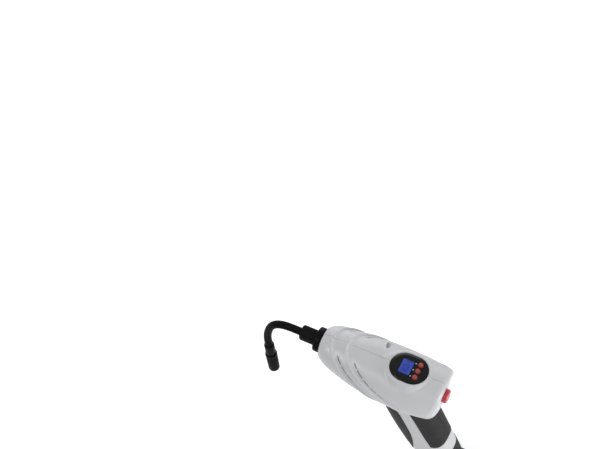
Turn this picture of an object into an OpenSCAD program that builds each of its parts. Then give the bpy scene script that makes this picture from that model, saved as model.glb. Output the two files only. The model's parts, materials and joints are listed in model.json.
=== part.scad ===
// Cordless tyre inflator of pistol shape. Millimetres. +Z is up, -X points to the nose, -Y is the left side.
// The origin is the centre of the battery pack's flat underside.

/* [Barrel] */
// Length of the barrel from its rear face to its nose face
barrel_len = 155; // [146:1:166]
// Greatest width of the barrel
barrel_w = 71; // [68:0.5:76]
// Greatest height of the barrel
barrel_h = 62; // [60:0.5:66]
// Height of the barrel's straight top line above the battery pack's underside
barrel_top = 213; // [209:1:219]
// Place of the barrel's rear face
barrel_rear = -13; // [-20:1:-12]
// Squareness of the barrel's section, where 2 is an ellipse
barrel_square = 2.3; // [2:0.1:3]
// How fast the barrel narrows towards the nose
width_taper = 0.42; // [0.3:0.01:0.5]
// How fast the barrel gets lower towards the nose
height_taper = 0.3; // [0.2:0.01:0.35]
// Wall of both shells
wall = 2.4; // [2:0.1:3]
// Height of each cowl above the surface behind it
cowl_step = 0.8; // [0.4:0.1:1.2]
// Place of the front cowl's edge on the top line
front_cowl_x = -150; // [-160:1:-148]
// Place of the rear cowl's edge on the top line
rear_cowl_x = -130; // [-140:1:-126]

/* [Handle] */
// Half length of the handle's section at its top, front to back
grip_half_len = 32; // [30:0.5:34]
// Half thickness of the handle, side to side
grip_half_wide = 21; // [20:0.5:23]
// Backward lean of the handle at its top, in degrees
grip_rake = 22; // [19:0.5:23]
// Height where the handle meets the battery pack
foot_top = 24; // [23:1:28]
// Thickness of the rubber inlays
rubber_thick = 1.6; // [1.2:0.1:2]
// Height of the rubber above the shell around it
rubber_proud = 0.6; // [0.2:0.1:1]

/* [Display] */
// Length of the display bezel
bezel_len = 46; // [44:0.5:50]
// Width of the display bezel
bezel_w = 37; // [35:0.5:38]
// Place of the bezel's centre
display_x = -60; // [-64:1:-58]
// Width of the screen, front to back
lcd_len = 12; // [10:0.5:13]
// Width of the screen, side to side
lcd_w = 20; // [16:0.5:22]
// Diameter of a key
key_d = 7.2; // [6:0.1:7.6]
// Distance between keys
key_pitch = 8.6; // [8.4:0.1:9.4]
// Travel of a key
key_travel = 0.7; // [0.4:0.1:0.8]

/* [Power button] */
// Diameter of the power button
button_d = 17; // [14:0.5:20]
// How far the button stands out of the shell
button_proud = 4; // [3:0.5:5]
// Travel of the power button
button_travel = 2.5; // [1.5:0.5:2.5]
// Depth of the power button's axis below the barrel's top line
button_drop = 28; // [25:1:33]

/* [Pump] */
// Depth of the cylinder's axis and of the hose outlet below the barrel's top line
nose_drop = 19; // [19:0.5:22]
// Bore of the cylinder
bore_d = 21; // [18:0.5:22]
// Stroke of the piston
stroke = 14; // [10:1:14]
// Length of the connecting rod from the crank pin to the piston
rod_len = 38; // [37:0.5:40]
// Teeth on the motor's pinion
pinion_teeth = 12; // [11:1:14]
// Teeth on the crank gear
gear_teeth = 56; // [52:1:58]
// Size of the teeth, as pitch diameter over tooth count
tooth_module = 0.9; // [0.86:0.01:0.92]
// Diameter of the motor's case
motor_d = 32; // [28:1:34]
// Length of the motor's case
motor_len = 40; // [34:1:44]
// Place of the motor's axis
motor_x = -56; // [-58:1:-54]

/* [Hose] */
// Diameter of the hose
hose_d = 9.6; // [7:0.2:10.4]
// Diameter of the strain relief sleeve
sleeve_d = 18; // [14:0.5:19]
// Length of the strain relief sleeve
sleeve_len = 20; // [12:1:22]
// Diameter of the nose collar
collar_d = 30; // [26:0.5:31]
// Thickness of the nose collar in front of the shell
collar_len = 8.5; // [8:0.5:12]
// Diameter of the chuck's grip sleeve
chuck_d = 14.5; // [13:0.5:17]
// Length of the chuck's grip sleeve
chuck_len = 31; // [28:1:36]
// Length of the crimped ferrule
ferrule_len = 23; // [16:1:25]
// Diameter of the crimped ferrule
ferrule_d = 12.2; // [11:0.2:13]
// Bore that takes the tyre valve's stem
valve_bore_d = 7.9; // [7.8:0.1:8.2]

/* [Battery] */
// Length of the battery pack below the handle
pack_len = 64; // [64:1:72]
// Width of the battery pack below the handle
pack_w = 50; // [48:1:56]
// Diameter of a battery cell
cell_d = 18.4; // [18:0.1:18.6]
// Length of a battery cell
cell_len = 65; // [62:0.5:66]
// Travel of the two battery latches
latch_travel = 2; // [1.5:0.5:2.5]

/* [Hidden] */

fit = 0.05;          // running clearance on a radius
gap = 0.3;           // clearance between pieces that move past each other
slip = 0.2;          // clearance of a piece in its seat
ring_sides = 40;     // corners of a barrel ring
grip_sides = 32;     // corners of a handle ring
barrel_front = barrel_rear - barrel_len;
nose_z = barrel_top - nose_drop;      // height of the cylinder's axis and of the hose outlet
button_z = barrel_top - button_drop;  // height of the power button's axis
width_peak = barrel_rear - 56;   // where the barrel is widest
height_peak = barrel_rear - 34;  // where the barrel is tallest
rear_round = 9;      // rounding of the rear edge
nose_round = 18;     // length of the rounding behind the nose face
nose_side_drop = 7;  // how much the nose face is narrower than the taper alone makes it
nose_top_drop = 6; // how much the nose face is lower than the top line
cowl_lean = [35, 29]; // slope of the front and the rear cowl's edge, in degrees

// ---- Curves and lofts ----

function taper(x, peak, rate) = 1 - rate * pow((x - peak) / 100, 2);
function edge_drop(d, len, depth) = d >= len ? 0 : depth * (1 - sqrt(max(0, 1 - pow((len - d) / len, 2))));
function round_power(v, n) = sign(v) * pow(abs(v), 2 / n);
function squircle(n, sides) =
    [for (i = [0:sides - 1]) [round_power(cos(360 * i / sides), n), round_power(sin(360 * i / sides), n)]];
function mix(a, b, t) = a + (b - a) * t;

// Solid through rings of equal count, stacked towards +X or +Z.
module loft(rings) {
    sides = len(rings[0]);
    last = len(rings) - 1;
    points = [for (r = rings) each r];
    walls = [for (i = [0:last - 1], j = [0:sides - 1]) let (k = (j + 1) % sides)
        [i * sides + j, (i + 1) * sides + j, (i + 1) * sides + k, i * sides + k]];
    bottom = [[for (j = [0:sides - 1]) j]];
    top = [[for (j = [sides - 1:-1:0]) last * sides + j]];
    polyhedron(points, concat(walls, bottom, top), convexity = 6);
}

// ---- Barrel ----

function rear_drop(x) = edge_drop(barrel_rear - x, rear_round, rear_round * 0.75);
function barrel_half_w(x) = barrel_w / 2 * taper(x, width_peak, width_taper) - rear_drop(x)
    - edge_drop(x - barrel_front, nose_round, nose_side_drop);
function barrel_z_top(x) = barrel_top - rear_drop(x) - edge_drop(x - barrel_front, nose_round, nose_top_drop);
function barrel_z_low(x) = barrel_top - barrel_h * taper(x, height_peak, height_taper) + rear_drop(x);
function barrel_ring(x, grow) =
    let (low = barrel_z_low(x), high = barrel_z_top(x), half_h = (high - low) / 2 + grow)
    [for (p = squircle(barrel_square, ring_sides))
        [x, p[0] * (barrel_half_w(x) + grow), (low + high) / 2 + p[1] * half_h]];
nose_stations = [0, 1, 3, 6, 11, 18];
rear_stations = [9, 5, 2.5, 1, 0];
barrel_middle = [for (i = [1:6]) mix(barrel_front + nose_round, barrel_rear - rear_round, i / 7)];
barrel_stations = concat([for (d = nose_stations) barrel_front + d], barrel_middle,
    [for (d = rear_stations) barrel_rear - d]);
module barrel_form(grow) loft([for (x = barrel_stations) barrel_ring(x, grow)]);
module barrel_room() {
    ends = [for (x = barrel_stations) if (x > barrel_front + wall + 1 && x < barrel_rear - wall - 1) x];
    loft([for (x = concat([barrel_front + wall], ends, [barrel_rear - wall])) barrel_ring(x, -wall)]);
}

// Everything in front of a slanted plane that meets the top line at x.
module ahead_of(x, lean)
    rotate([90, 0, 0]) linear_extrude(120, center = true)
        polygon([[x - 40 / tan(lean), barrel_top + 40], [x + 80 / tan(lean), barrel_top - 80],
            [x - 120, barrel_top - 80], [x - 120, barrel_top + 40]]);

// ---- Handle ----

grip_ref_z = barrel_top - 82;  // height where the handle's lean and size are stated
grip_ref_x = -52;        // centre of the handle there
grip_foot_x = 0.39;      // centre of the handle's lower end
grip_len = grip_ref_z - foot_top;
// How fast the handle's lean grows downwards, so that its lower end comes over the pack
grip_bend = (grip_foot_x - grip_ref_x - tan(grip_rake) * grip_len) / pow(grip_len, 2);
grip_len_fall = 8;       // how much the lower end's half length is smaller than the stated one
grip_wide_fall = 1.37;   // how much its half thickness is smaller
grip_square = 2.8;
root_z = barrel_top - 73;      // height above which the handle's front edge flares into the barrel
root_flare = 9;
handle_top = barrel_top - 43;
flare_h = 14;            // height of the flare over the battery pack
flare_len = 5;
flare_wide = 2;
function grip_x(z) = grip_ref_x + tan(grip_rake) * (grip_ref_z - z) + grip_bend * pow(grip_ref_z - z, 2);
function grip_lean(z) = atan(tan(grip_rake) + 2 * grip_bend * (grip_ref_z - z));
function grip_half(z) = grip_half_len - grip_len_fall * pow((grip_ref_z - z) / grip_len, 2);
function grip_wide(z) = grip_half_wide - grip_wide_fall * pow((grip_ref_z - z) / grip_len, 2);
function root_add(z) = z <= root_z ? 0 : root_flare * pow((z - root_z) / (handle_top - root_z), 2);
function flare(z) = pow(max(0, foot_top + flare_h - z) / flare_h, 2);
function grip_ring(z, grow) = [for (p = squircle(grip_square, grip_sides))
    [grip_x(z) - root_add(z) + p[0] * (grip_half(z) + root_add(z) + flare_len * flare(z) + grow),
        p[1] * (grip_wide(z) + flare_wide * flare(z) + grow), z]];
handle_stations = concat([for (d = [0, 3, 7]) foot_top + d],
    [for (i = [0:11]) mix(foot_top + flare_h, handle_top, i / 11)]);
module handle_form(grow) loft([for (z = handle_stations) grip_ring(z, grow)]);
module handle_room() {
    loft([for (z = handle_stations) grip_ring(z, -wall)]);
    loft([for (d = [-1, 0.01]) [for (p = grip_ring(foot_top, -wall)) [p[0], p[1], foot_top + d]]]);
}

// ---- Housing ----

pad_z = barrel_top + 1;  // top of the raised pad around the display
bezel_seat_z = barrel_top - 3;
deck_low_z = bezel_seat_z - 2.5;
module stadium(len, wide, grow = 0)
    hull() for (s = [-1, 1]) translate([display_x + s * (len - wide) / 2, 0])
        circle(d = wide + 2 * grow, $fn = 48);
module display_pad()
    hull() {
        translate([0, 0, pad_z - 0.5]) linear_extrude(0.5) stadium(bezel_len, bezel_w, 1.6);
        translate([0, 0, pad_z - 7]) linear_extrude(1) stadium(bezel_len, bezel_w, 3.6);
    }
// Screws of the barrel as [x, depth below its top line].
screw_drops = [[-94, 5], [-154, 36.5], [-26, 12], [-28, 49], [-98, 51]];
// Screws of the handle as [distance behind its middle line, height above its lower end].
grip_screws = [[-20.3, 76], [23.2, 86]];
screw_spots = concat([for (s = screw_drops) [s[0], barrel_top - s[1]]],
    [for (s = grip_screws) [grip_x(foot_top + s[1]) + s[0], foot_top + s[1]]]);
screw_seat_y = 11;
screw_r = 1.5;
screw_head_r = 2.9;
boss_r = 4.8;
vent_len = 9.6;
vent_w = 1.5;
vent_pitch = 11.6;
vent_counts = [3, 5];    // slots on each side along the front and the rear cowl
vent_starts = [9, 7];    // distance of the first slot from the top line, along the edge
module vents()
    for (c = [0, 1], i = [0:vent_counts[c] - 1]) {
        place = vent_starts[c] + vent_pitch * i;
        translate([[front_cowl_x, rear_cowl_x][c], 0, barrel_top])
            rotate([0, cowl_lean[c], 0]) translate([place, 0, vent_w * 0.6])
                for (side = [-1, 1])
                    hull() for (e = [0, vent_len - vent_w])
                        translate([e, side * 31, 0]) rotate([90, 0, 0])
                            cylinder(d = vent_w, h = 26, center = true, $fn = 10);
    }
collar_bore_r = 11;
module housing_solid() {
    barrel_form(0);
    intersection() {
        barrel_form(cowl_step);
        ahead_of(rear_cowl_x, cowl_lean[1]);
    }
    intersection() {
        barrel_form(2 * cowl_step);
        ahead_of(front_cowl_x, cowl_lean[0]);
    }
    display_pad();
    handle_form(0);
}
module housing_room()
    union() {
        difference() {
            barrel_room();
            translate([0, 0, deck_low_z]) linear_extrude(20) stadium(bezel_len, bezel_w, 2);
        }
        handle_room();
    }
module shell_half(side) {
    far = 600;
    difference() {
        intersection() {
            union() {
                difference() {
                    housing_solid();
                    housing_room();
                }
                intersection() {
                    housing_solid();
                    union() {
                        for (s = screw_spots) translate([s[0], 0, s[1]]) rotate([90, 0, 0])
                            cylinder(r = boss_r, h = 100, center = true, $fn = 20);
                        for (r = ribs) rib_block(r, side);
                    }
                }
            }
            translate([-far / 2, side > 0 ? 0 : -far, -far / 2]) cube(far);
        }
        vents();
        translate([barrel_front - 5, 0, nose_z]) rotate([0, 90, 0])
            cylinder(r = collar_bore_r, h = 10, $fn = 40);
        translate([barrel_rear - 8, 0, button_z]) rotate([0, 90, 0])
            cylinder(d = button_d + 2 * slip, h = 20, $fn = 40);
        translate([0, 0, bezel_seat_z]) linear_extrude(20) stadium(bezel_len, bezel_w, slip);
        translate([0, 0, deck_low_z - 5]) linear_extrude(20) stadium(bezel_len, bezel_w, -2);
        grip_pockets();
        for (s = screw_spots) translate([s[0], 0, s[1]]) rotate([-90, 0, 0]) {
            translate([0, 0, -8.5]) cylinder(r = screw_r + 0.05, h = 8.6 + screw_seat_y, $fn = 16);
            translate([0, 0, screw_seat_y]) cylinder(r = screw_head_r + 0.3, h = 60, $fn = 20);
        }
        motor_space();
        pump_space();
    }
}
module motor_space() translate([motor_x, 0, motor_low_z - slip])
    cylinder(d = motor_d + 2 * gap, h = motor_len + 4, $fn = 48);
module pump_space() {
    translate([crank_x, 0, gear_z - 3]) cylinder(r = gear_tip_r + 1.5, h = 14, $fn = 60);
    translate([head_front_x - 2, 0, nose_z]) rotate([0, 90, 0]) cylinder(r = head_r + gap, h = 30, $fn = 48);
}
module left_shell() color("silver") shell_half(-1);
module right_shell() color("silver") shell_half(1);

module shell_screws() color("dimgray")
    for (s = screw_spots) translate([s[0], 0, s[1]]) rotate([-90, 0, 0])
        difference() {
            union() {
                translate([0, 0, -8]) cylinder(r = screw_r, h = 8 + screw_seat_y, $fn = 24);
                translate([0, 0, screw_seat_y]) cylinder(r = screw_head_r, h = 2, $fn = 24);
            }
            translate([0, 0, screw_seat_y + 1]) cylinder(r = 1.2, h = 3, $fn = 6);
        }

// ---- Rubber inlays ----

// Side view outlines as [x, height above the handle's lower end], drawn for a handle of outline_len.
outline_len = 107;
front_grip_outline = [[-120, 128], [-70, 128], [-66, 123], [-62, 116], [-58, 109], [-50, 91], [-43, 74],
    [-40, 61], [-38.5, 46], [-39, 34], [-44, 25], [-52, 19], [-80, 19]];
side_grip_outline = [[-50, 126], [60, 126], [60, 66], [0, 64], [-7, 61], [-17, 59.5], [-25.5, 76],
    [-33, 92], [-40, 107]];
lower_grip_outline = [[-3, 44], [40, 46], [40, 18], [16, 18]];
bed_gap = 0.05;          // clearance between the rubber and its bed in the shell
module side_view(outline) rotate([90, 0, 0]) linear_extrude(100, center = true)
    translate([0, foot_top]) scale([1, grip_len / outline_len]) polygon(outline);
module inlay(outline, proud, bed)
    difference() {
        intersection() {
            handle_form(proud);
            side_view(outline);
        }
        handle_form(bed);
    }
module rubber(outline) inlay(outline, rubber_proud, rubber_proud - rubber_thick);
module grip_pockets() {
    for (o = [front_grip_outline, side_grip_outline, lower_grip_outline])
        inlay(o, rubber_proud + 1, rubber_proud - rubber_thick - bed_gap);
}
module barrel_clear() barrel_form(gap);
module front_grip() color([0.2, 0.2, 0.2]) difference() {
    rubber(front_grip_outline);
    barrel_clear();
}
module side_grip(side) color([0.2, 0.2, 0.2]) difference() {
    intersection() {
        rubber(side_grip_outline);
        translate([-100, side > 0 ? 0 : -100, 0]) cube([200, 100, 200]);
    }
    barrel_clear();
}
module left_side_grip() side_grip(-1);
module right_side_grip() side_grip(1);
module lower_grip() color([0.2, 0.2, 0.2]) rubber(lower_grip_outline);

// ---- Nose and hose ----

collar_front = barrel_front - collar_len;
sleeve_front = collar_front - sleeve_len;
spigot_len = 12;
air_bore_r = 1.6;
barb_r = 3;
module along_x(x, z) translate([x, 0, z]) rotate([0, 90, 0]) children();
module nose_collar() color([0.12, 0.12, 0.12])
    along_x(collar_front, nose_z) difference() {
        union() {
            rotate_extrude($fn = 64) polygon([[0, 0], [collar_d / 2 - 1.4, 0], [collar_d / 2, 1.2],
                [collar_d / 2, collar_len - 1], [collar_d / 2 - 0.6, collar_len], [0, collar_len]]);
            cylinder(r = collar_bore_r - slip, h = collar_len + spigot_len, $fn = 64);
        }
        translate([0, 0, -1]) cylinder(r = barb_r + fit, h = collar_len + spigot_len + 2, $fn = 32);
    }
module collar_nut() color("dimgray")
    along_x(barrel_front + wall + 0.1, nose_z) difference() {
        rotate([0, 0, 30]) cylinder(r = collar_bore_r + 2.6, h = 4, $fn = 6);
        translate([0, 0, -1]) cylinder(r = collar_bore_r - slip, h = 6, $fn = 64);
    }
module hose_sleeve() color([0.1, 0.1, 0.1])
    along_x(sleeve_front, nose_z) difference() {
        rotate_extrude($fn = 64) polygon([[0, 0], [sleeve_d / 2 - 1.3, 0], [sleeve_d / 2, 1.4],
            [sleeve_d / 2, sleeve_len], [0, sleeve_len]]);
        translate([0, 0, -1]) cylinder(r = barb_r + fit, h = sleeve_len + 2, $fn = 32);
    }
module outlet_barb() color("goldenrod")
    along_x(sleeve_front, nose_z) difference() {
        cylinder(r = barb_r, h = head_front_x - sleeve_front, $fn = 32);
        translate([0, 0, -1]) cylinder(r = air_bore_r, h = head_front_x - sleeve_front + 2, $fn = 24);
    }

// The hose's own route in the middle plane, as [forward, down] from its sleeve's front: straight out, one
// round bend down, then hanging.
hose_steps = [
    [0, 0], [4.5, 0], [9.5, 0.1], [15, 0.5], [20.5, 1.3], [25.5, 2.9],
    [30, 5.4], [34, 8.9], [37.2, 13.2], [39.8, 18.4], [41.8, 24.4], [43.2, 30.7],
    [44.1, 37], [44.5, 43.5], [44.4, 50], [43.8, 56.7], [43, 63.3]
];
hose_route = [for (s = hose_steps) [sleeve_front - s[0], nose_z - s[1]]];
hose_lean = 7;           // lean of the chuck from straight down, in degrees
hose_sides = 12;
function route_turn(i) = let (a = hose_route[max(i - 1, 0)], b = hose_route[min(i + 1, len(hose_route) - 1)])
    atan2(b[1] - a[1], b[0] - a[0]);
function hose_angle(i) = i == 0 ? 180 : i == len(hose_route) - 1 ? hose_lean - 90 : route_turn(i);
function hose_ring(i) = let (t = hose_angle(i), p = hose_route[i])
    [for (j = [0:hose_sides - 1]) let (a = 360 * j / hose_sides, u = hose_d / 2 * cos(a),
        v = hose_d / 2 * sin(a))
        [p[0] - sin(t) * u, v, p[1] + cos(t) * u]];
module hose() color([0.12, 0.12, 0.12]) loft([for (i = [0:len(hose_route) - 1]) hose_ring(i)]);

hose_end = hose_route[len(hose_route) - 1];
// Local +Z runs from the hose's end down the chuck.
module on_chuck(d) translate([hose_end[0], 0, hose_end[1]]) rotate([0, 180 - hose_lean, 0])
    translate([0, 0, d]) children();
socket_wall = 0.85;      // wall of the brass body round the valve bore
mouth_depth = 10;
seal_len = 3;
core_r = valve_bore_d / 2 + socket_wall;
neck_len = 4;
neck_r = core_r - 1.4;   // the ferrule's neck, on which the sleeve turns
lip_r = core_r - 0.35;   // hole in the sleeve's lip, which keeps the sleeve on the body
module hose_ferrule() color([0.1, 0.1, 0.1])
    on_chuck(0) rotate_extrude($fn = 48) polygon([[0, 0], [ferrule_d / 2 - 0.6, 0], [ferrule_d / 2, 0.8],
        [ferrule_d / 2, ferrule_len - neck_len], [neck_r, ferrule_len - neck_len], [neck_r, ferrule_len],
        [0, ferrule_len]]);
module chuck_body() color("goldenrod")
    on_chuck(ferrule_len) difference() {
        rotate_extrude($fn = 48) polygon([[0, 0], [core_r - fit, 0], [core_r - fit, chuck_len - 2],
            [0, chuck_len - 2]]);
        translate([0, 0, chuck_len - 2 - mouth_depth])
            cylinder(d = valve_bore_d, h = mouth_depth + 1, $fn = 40);
        translate([0, 0, chuck_len - 2 - mouth_depth - seal_len])
            cylinder(r = valve_bore_d / 2 - 0.35, h = seal_len + 0.5, $fn = 32);
    }
module chuck_sleeve() color([0.14, 0.14, 0.15])
    on_chuck(ferrule_len - neck_len) difference() {
        rotate_extrude($fn = 64) polygon([[0, gap], [chuck_d / 2 - 0.6, gap], [chuck_d / 2, 1],
            [chuck_d / 2 - 0.5, chuck_len + neck_len - 2],
            [chuck_d / 2 - 1.9, chuck_len + neck_len], [0, chuck_len + neck_len]]);
        translate([0, 0, -1]) cylinder(r = neck_r + fit, h = neck_len + 2, $fn = 32);
        translate([0, 0, neck_len - gap]) cylinder(r = core_r + fit, h = chuck_len - 2 + 2 * gap, $fn = 48);
        translate([0, 0, neck_len]) cylinder(r = lip_r, h = chuck_len + 5, $fn = 40);
    }
module valve_seal() color([0.25, 0.1, 0.1])
    on_chuck(ferrule_len + chuck_len - 2 - mouth_depth - seal_len) difference() {
        cylinder(r = valve_bore_d / 2 - 0.4, h = seal_len, $fn = 32);
        translate([0, 0, -1]) cylinder(r = 1.5, h = seal_len + 2, $fn = 24);
    }
module valve_pin() color("silver")
    on_chuck(ferrule_len + chuck_len - 2 - mouth_depth - seal_len)
        cylinder(r = 1, h = seal_len - 0.3, $fn = 24);

// ---- Display ----

bezel_top = pad_z + 0.8;
key_x = display_x + 10.5;
light_x = display_x + 5;
lcd_x = display_x - 3.8;
window_z = bezel_top - 1.6;
board_z = bezel_seat_z - 6;
board_thick = 1.6;
bezel_posts = [[-13, 11], [15, 4.3]];  // posts that carry the display board, from the bezel's centre
module lcd_rect(grow) translate([lcd_x - lcd_len / 2 - grow, -lcd_w / 2 - grow])
    square([lcd_len + 2 * grow, lcd_w + 2 * grow]);
module display_bezel() color([0.05, 0.05, 0.06])
    difference() {
        union() {
            hull() {
                translate([0, 0, bezel_seat_z]) linear_extrude(bezel_top - 1.2 - bezel_seat_z)
                    stadium(bezel_len, bezel_w);
                translate([0, 0, bezel_top - 0.3]) linear_extrude(0.3) stadium(bezel_len, bezel_w, -3.5);
            }
            for (p = bezel_posts, s = [-1, 1]) translate([display_x + p[0], s * p[1], board_z + board_thick])
                cylinder(r = 1.5, h = bezel_seat_z - board_z - board_thick + 1, $fn = 20);
        }
        translate([0, 0, window_z]) linear_extrude(5) lcd_rect(1);
        translate([0, 0, bezel_seat_z - 1]) linear_extrude(10) lcd_rect(-0.8);
        for (i = [-1:1]) translate([key_x, i * key_pitch, bezel_seat_z - 1])
            cylinder(d = key_d + 2 * slip, h = 10, $fn = 32);
        for (i = [-1:1]) translate([light_x, i * key_pitch, bezel_seat_z - 1])
            cylinder(r = 1, h = 10, $fn = 24);
    }
module lcd_window() color([0.25, 0.35, 0.8]) translate([0, 0, window_z]) linear_extrude(1.4) lcd_rect(0.8);
module lcd_module() color([0.3, 0.4, 0.85])
    translate([0, 0, board_z + board_thick]) linear_extrude(bezel_seat_z - board_z - board_thick - slip)
        lcd_rect(0.5);
module indicator_lights() color([0.8, 0.9, 0.8])
    for (i = [-1:1]) translate([light_x, i * key_pitch, board_z + board_thick])
        cylinder(r = 0.95, h = bezel_top - 0.2 - board_z - board_thick, $fn = 24);
module display_board() color("darkgreen")
    translate([display_x - bezel_len / 2 + 7, -bezel_w / 2 + 4.5, board_z])
        cube([bezel_len - 12, bezel_w - 9, board_thick]);
dome_h = 0.8;
module key_domes() color("silver")
    for (i = [-1:1]) translate([key_x, i * key_pitch, board_z + board_thick])
        cylinder(r = 2.5, h = dome_h, $fn = 24);
module key(i) color([0.75, 0.2, 0.2])
    translate([key_x, i * key_pitch, 0]) rotate_extrude($fn = 48)
        polygon([[0, board_z + board_thick + dome_h + key_travel + 0.1],
            [1.4, board_z + board_thick + dome_h + key_travel + 0.1],
            [1.4, bezel_seat_z - 1.3], [key_d / 2 + 0.45, bezel_seat_z - 1.3],
                [key_d / 2 + 0.45, bezel_seat_z - gap],
            [key_d / 2, bezel_seat_z - gap], [key_d / 2, bezel_top + 0.2], [key_d / 2 - 0.4, bezel_top + 0.8],
            [key_d / 2 - 1.2, bezel_top + 1.2], [0, bezel_top + 1.4]]);
module minus_key() key(-1);
module mode_key() key(0);
module plus_key() key(1);

// ---- Power button ----

button_flange_x = barrel_rear - wall - gap - 1.4;
switch_front_x = barrel_rear - 23.5;
switch_len = 12;
switch_w = 14;
switch_rear_x = switch_front_x + switch_len;
module power_button() color([0.7, 0.2, 0.22])
    along_x(0, button_z) rotate_extrude($fn = 64)
        polygon([[0, switch_rear_x + button_travel + 0.2], [2.5, switch_rear_x + button_travel + 0.2],
            [2.5, button_flange_x],
            [button_d / 2 + 1.4, button_flange_x], [button_d / 2 + 1.4, button_flange_x + 1.4],
            [button_d / 2, button_flange_x + 1.4], [button_d / 2, barrel_rear + button_proud - 1.2],
            [button_d / 2 - 1.2, barrel_rear + button_proud], [0, barrel_rear + button_proud]]);
module power_switch() color([0.15, 0.15, 0.16])
    translate([switch_front_x, -switch_w / 2, button_z - 7]) cube([switch_len, switch_w, 14]);

// Coil of round wire about +Z as one unbroken tube.
coil_steps = 10;
wire_sides = 6;
function coil_ring(r, wire, a, z) = [for (j = [0:wire_sides - 1])
    let (b = 360 * j / wire_sides, u = r + wire * cos(b))
    [u * cos(a), u * sin(a), z + wire * sin(b)]];
module coil(r, wire, len, turns)
    loft([for (i = [0:turns * coil_steps]) coil_ring(r, wire, 360 * i / coil_steps,
        wire + (len - 2 * wire) * i / (turns * coil_steps))]);
module button_spring() color("silver")
    along_x(switch_rear_x + 0.1, button_z) coil(4.4, 0.5, button_flange_x - switch_rear_x - 0.2, 3);

// ---- Drive ----

centre_distance = tooth_module * (pinion_teeth + gear_teeth) / 2;
crank_x = motor_x - centre_distance;
gear_tip_r = tooth_module * (gear_teeth / 2 + 0.75);
frame_low_z = nose_z - 19.5;
frame_thick = 3;
frame_top_z = frame_low_z + frame_thick;
gear_z = frame_top_z + 1.8;
gear_thick = 6;
disc_z = gear_z + gear_thick;
rod_thick = 6;
rod_low_z = nose_z - rod_thick / 2;
disc_thick = 3;
motor_low_z = frame_low_z - motor_len;
axle_r = 2.5;
shaft_r = 1.6;
pressure_angle = 20;
backlash = 0.12;
flank_steps = 3;

function involute(base, a) = [base * (cos(a) + a * PI / 180 * sin(a)),
    base * (sin(a) - a * PI / 180 * cos(a))];
function polar_angle(p) = atan2(p[1], p[0]);
function turned(p, a) = [p[0] * cos(a) - p[1] * sin(a), p[0] * sin(a) + p[1] * cos(a)];
function reach(base, r) = sqrt(max(0, pow(r / base, 2) - 1)) * 180 / PI;
function flank(base, low, high) = [for (i = [0:flank_steps])
    involute(base, mix(reach(base, max(low, base)), reach(base, high), i / flank_steps))];
function tooth(teeth) =
    let (r = tooth_module * teeth / 2, base = r * cos(pressure_angle), root = r - 1.15 * tooth_module,
        tip = r + 0.75 * tooth_module, half = 90 / teeth - backlash / 2 / r * 180 / PI,
        lead = polar_angle(involute(base, reach(base, r))), side = flank(base, root + 0.1, tip),
        low = [for (p = side) turned(p, -half - lead)], up = [for (p = low) [p[0], -p[1]]])
    concat([turned([root, 0], -half - lead)], low, [for (i = [flank_steps:-1:0]) up[i]],
        [turned([root, 0], half + lead)]);
module gear_outline(teeth, turn)
    polygon([for (i = [0:teeth - 1]) each [for (p = tooth(teeth)) turned(p, turn + 360 * i / teeth)]]);

motor_bolt_r = 9.5;
module motor_can() color("gray")
    translate([motor_x, 0, motor_low_z]) difference() {
        cylinder(d = motor_d, h = motor_len, $fn = 64);
        translate([0, 0, -1]) cylinder(d = motor_d - 2.4, h = motor_len - 0.8, $fn = 64);
        translate([0, 0, motor_len - 3]) cylinder(r = shaft_r + fit, h = 5, $fn = 32);
        for (s = [-1, 1]) translate([0, s * motor_bolt_r, motor_len - 3]) cylinder(r = 1.35, h = 5, $fn = 24);
    }
module motor_end_cap() color([0.9, 0.9, 0.85])
    translate([motor_x, 0, motor_low_z]) difference() {
        cylinder(d = motor_d - 2.4 - 2 * fit, h = 3, $fn = 64);
        translate([0, 0, 1]) cylinder(r = shaft_r + fit, h = 5, $fn = 24);
    }
module motor_screws() color("dimgray")
    for (s = [-1, 1]) translate([motor_x, s * motor_bolt_r, frame_top_z]) {
        cylinder(r = 2.4, h = 1.4, $fn = 24);
        translate([0, 0, -frame_thick - 1.5]) cylinder(r = 1.3, h = frame_thick + 2, $fn = 24);
    }
core_len = motor_len - 20;
module rotor_core() color([0.55, 0.4, 0.3])
    translate([motor_x, 0, motor_low_z + 12]) difference() {
        cylinder(d = motor_d - 8, h = core_len, $fn = 48);
        for (i = [0:4]) rotate([0, 0, 72 * i]) translate([motor_d / 2 - 9, -1, -1])
            cube([10, 2, core_len + 2]);
        translate([0, 0, -1]) cylinder(r = shaft_r, h = core_len + 2, $fn = 24);
    }
module rotor_shaft() color("silver")
    translate([motor_x, 0, motor_low_z + 1.2])
        cylinder(r = shaft_r, h = gear_z + gear_thick + 1 - motor_low_z - 1.2, $fn = 24);
module commutator() color("peru")
    translate([motor_x, 0, motor_low_z + 5]) difference() {
        cylinder(r = 4, h = 6, $fn = 32);
        translate([0, 0, -1]) cylinder(r = shaft_r, h = 8, $fn = 24);
    }
module motor_pinion() color("goldenrod")
    translate([motor_x, 0, gear_z - 0.5]) difference() {
        linear_extrude(gear_thick + 1) gear_outline(pinion_teeth, 180 + 180 / pinion_teeth);
        translate([0, 0, -1]) cylinder(r = shaft_r, h = gear_thick + 4, $fn = 24);
    }
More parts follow.
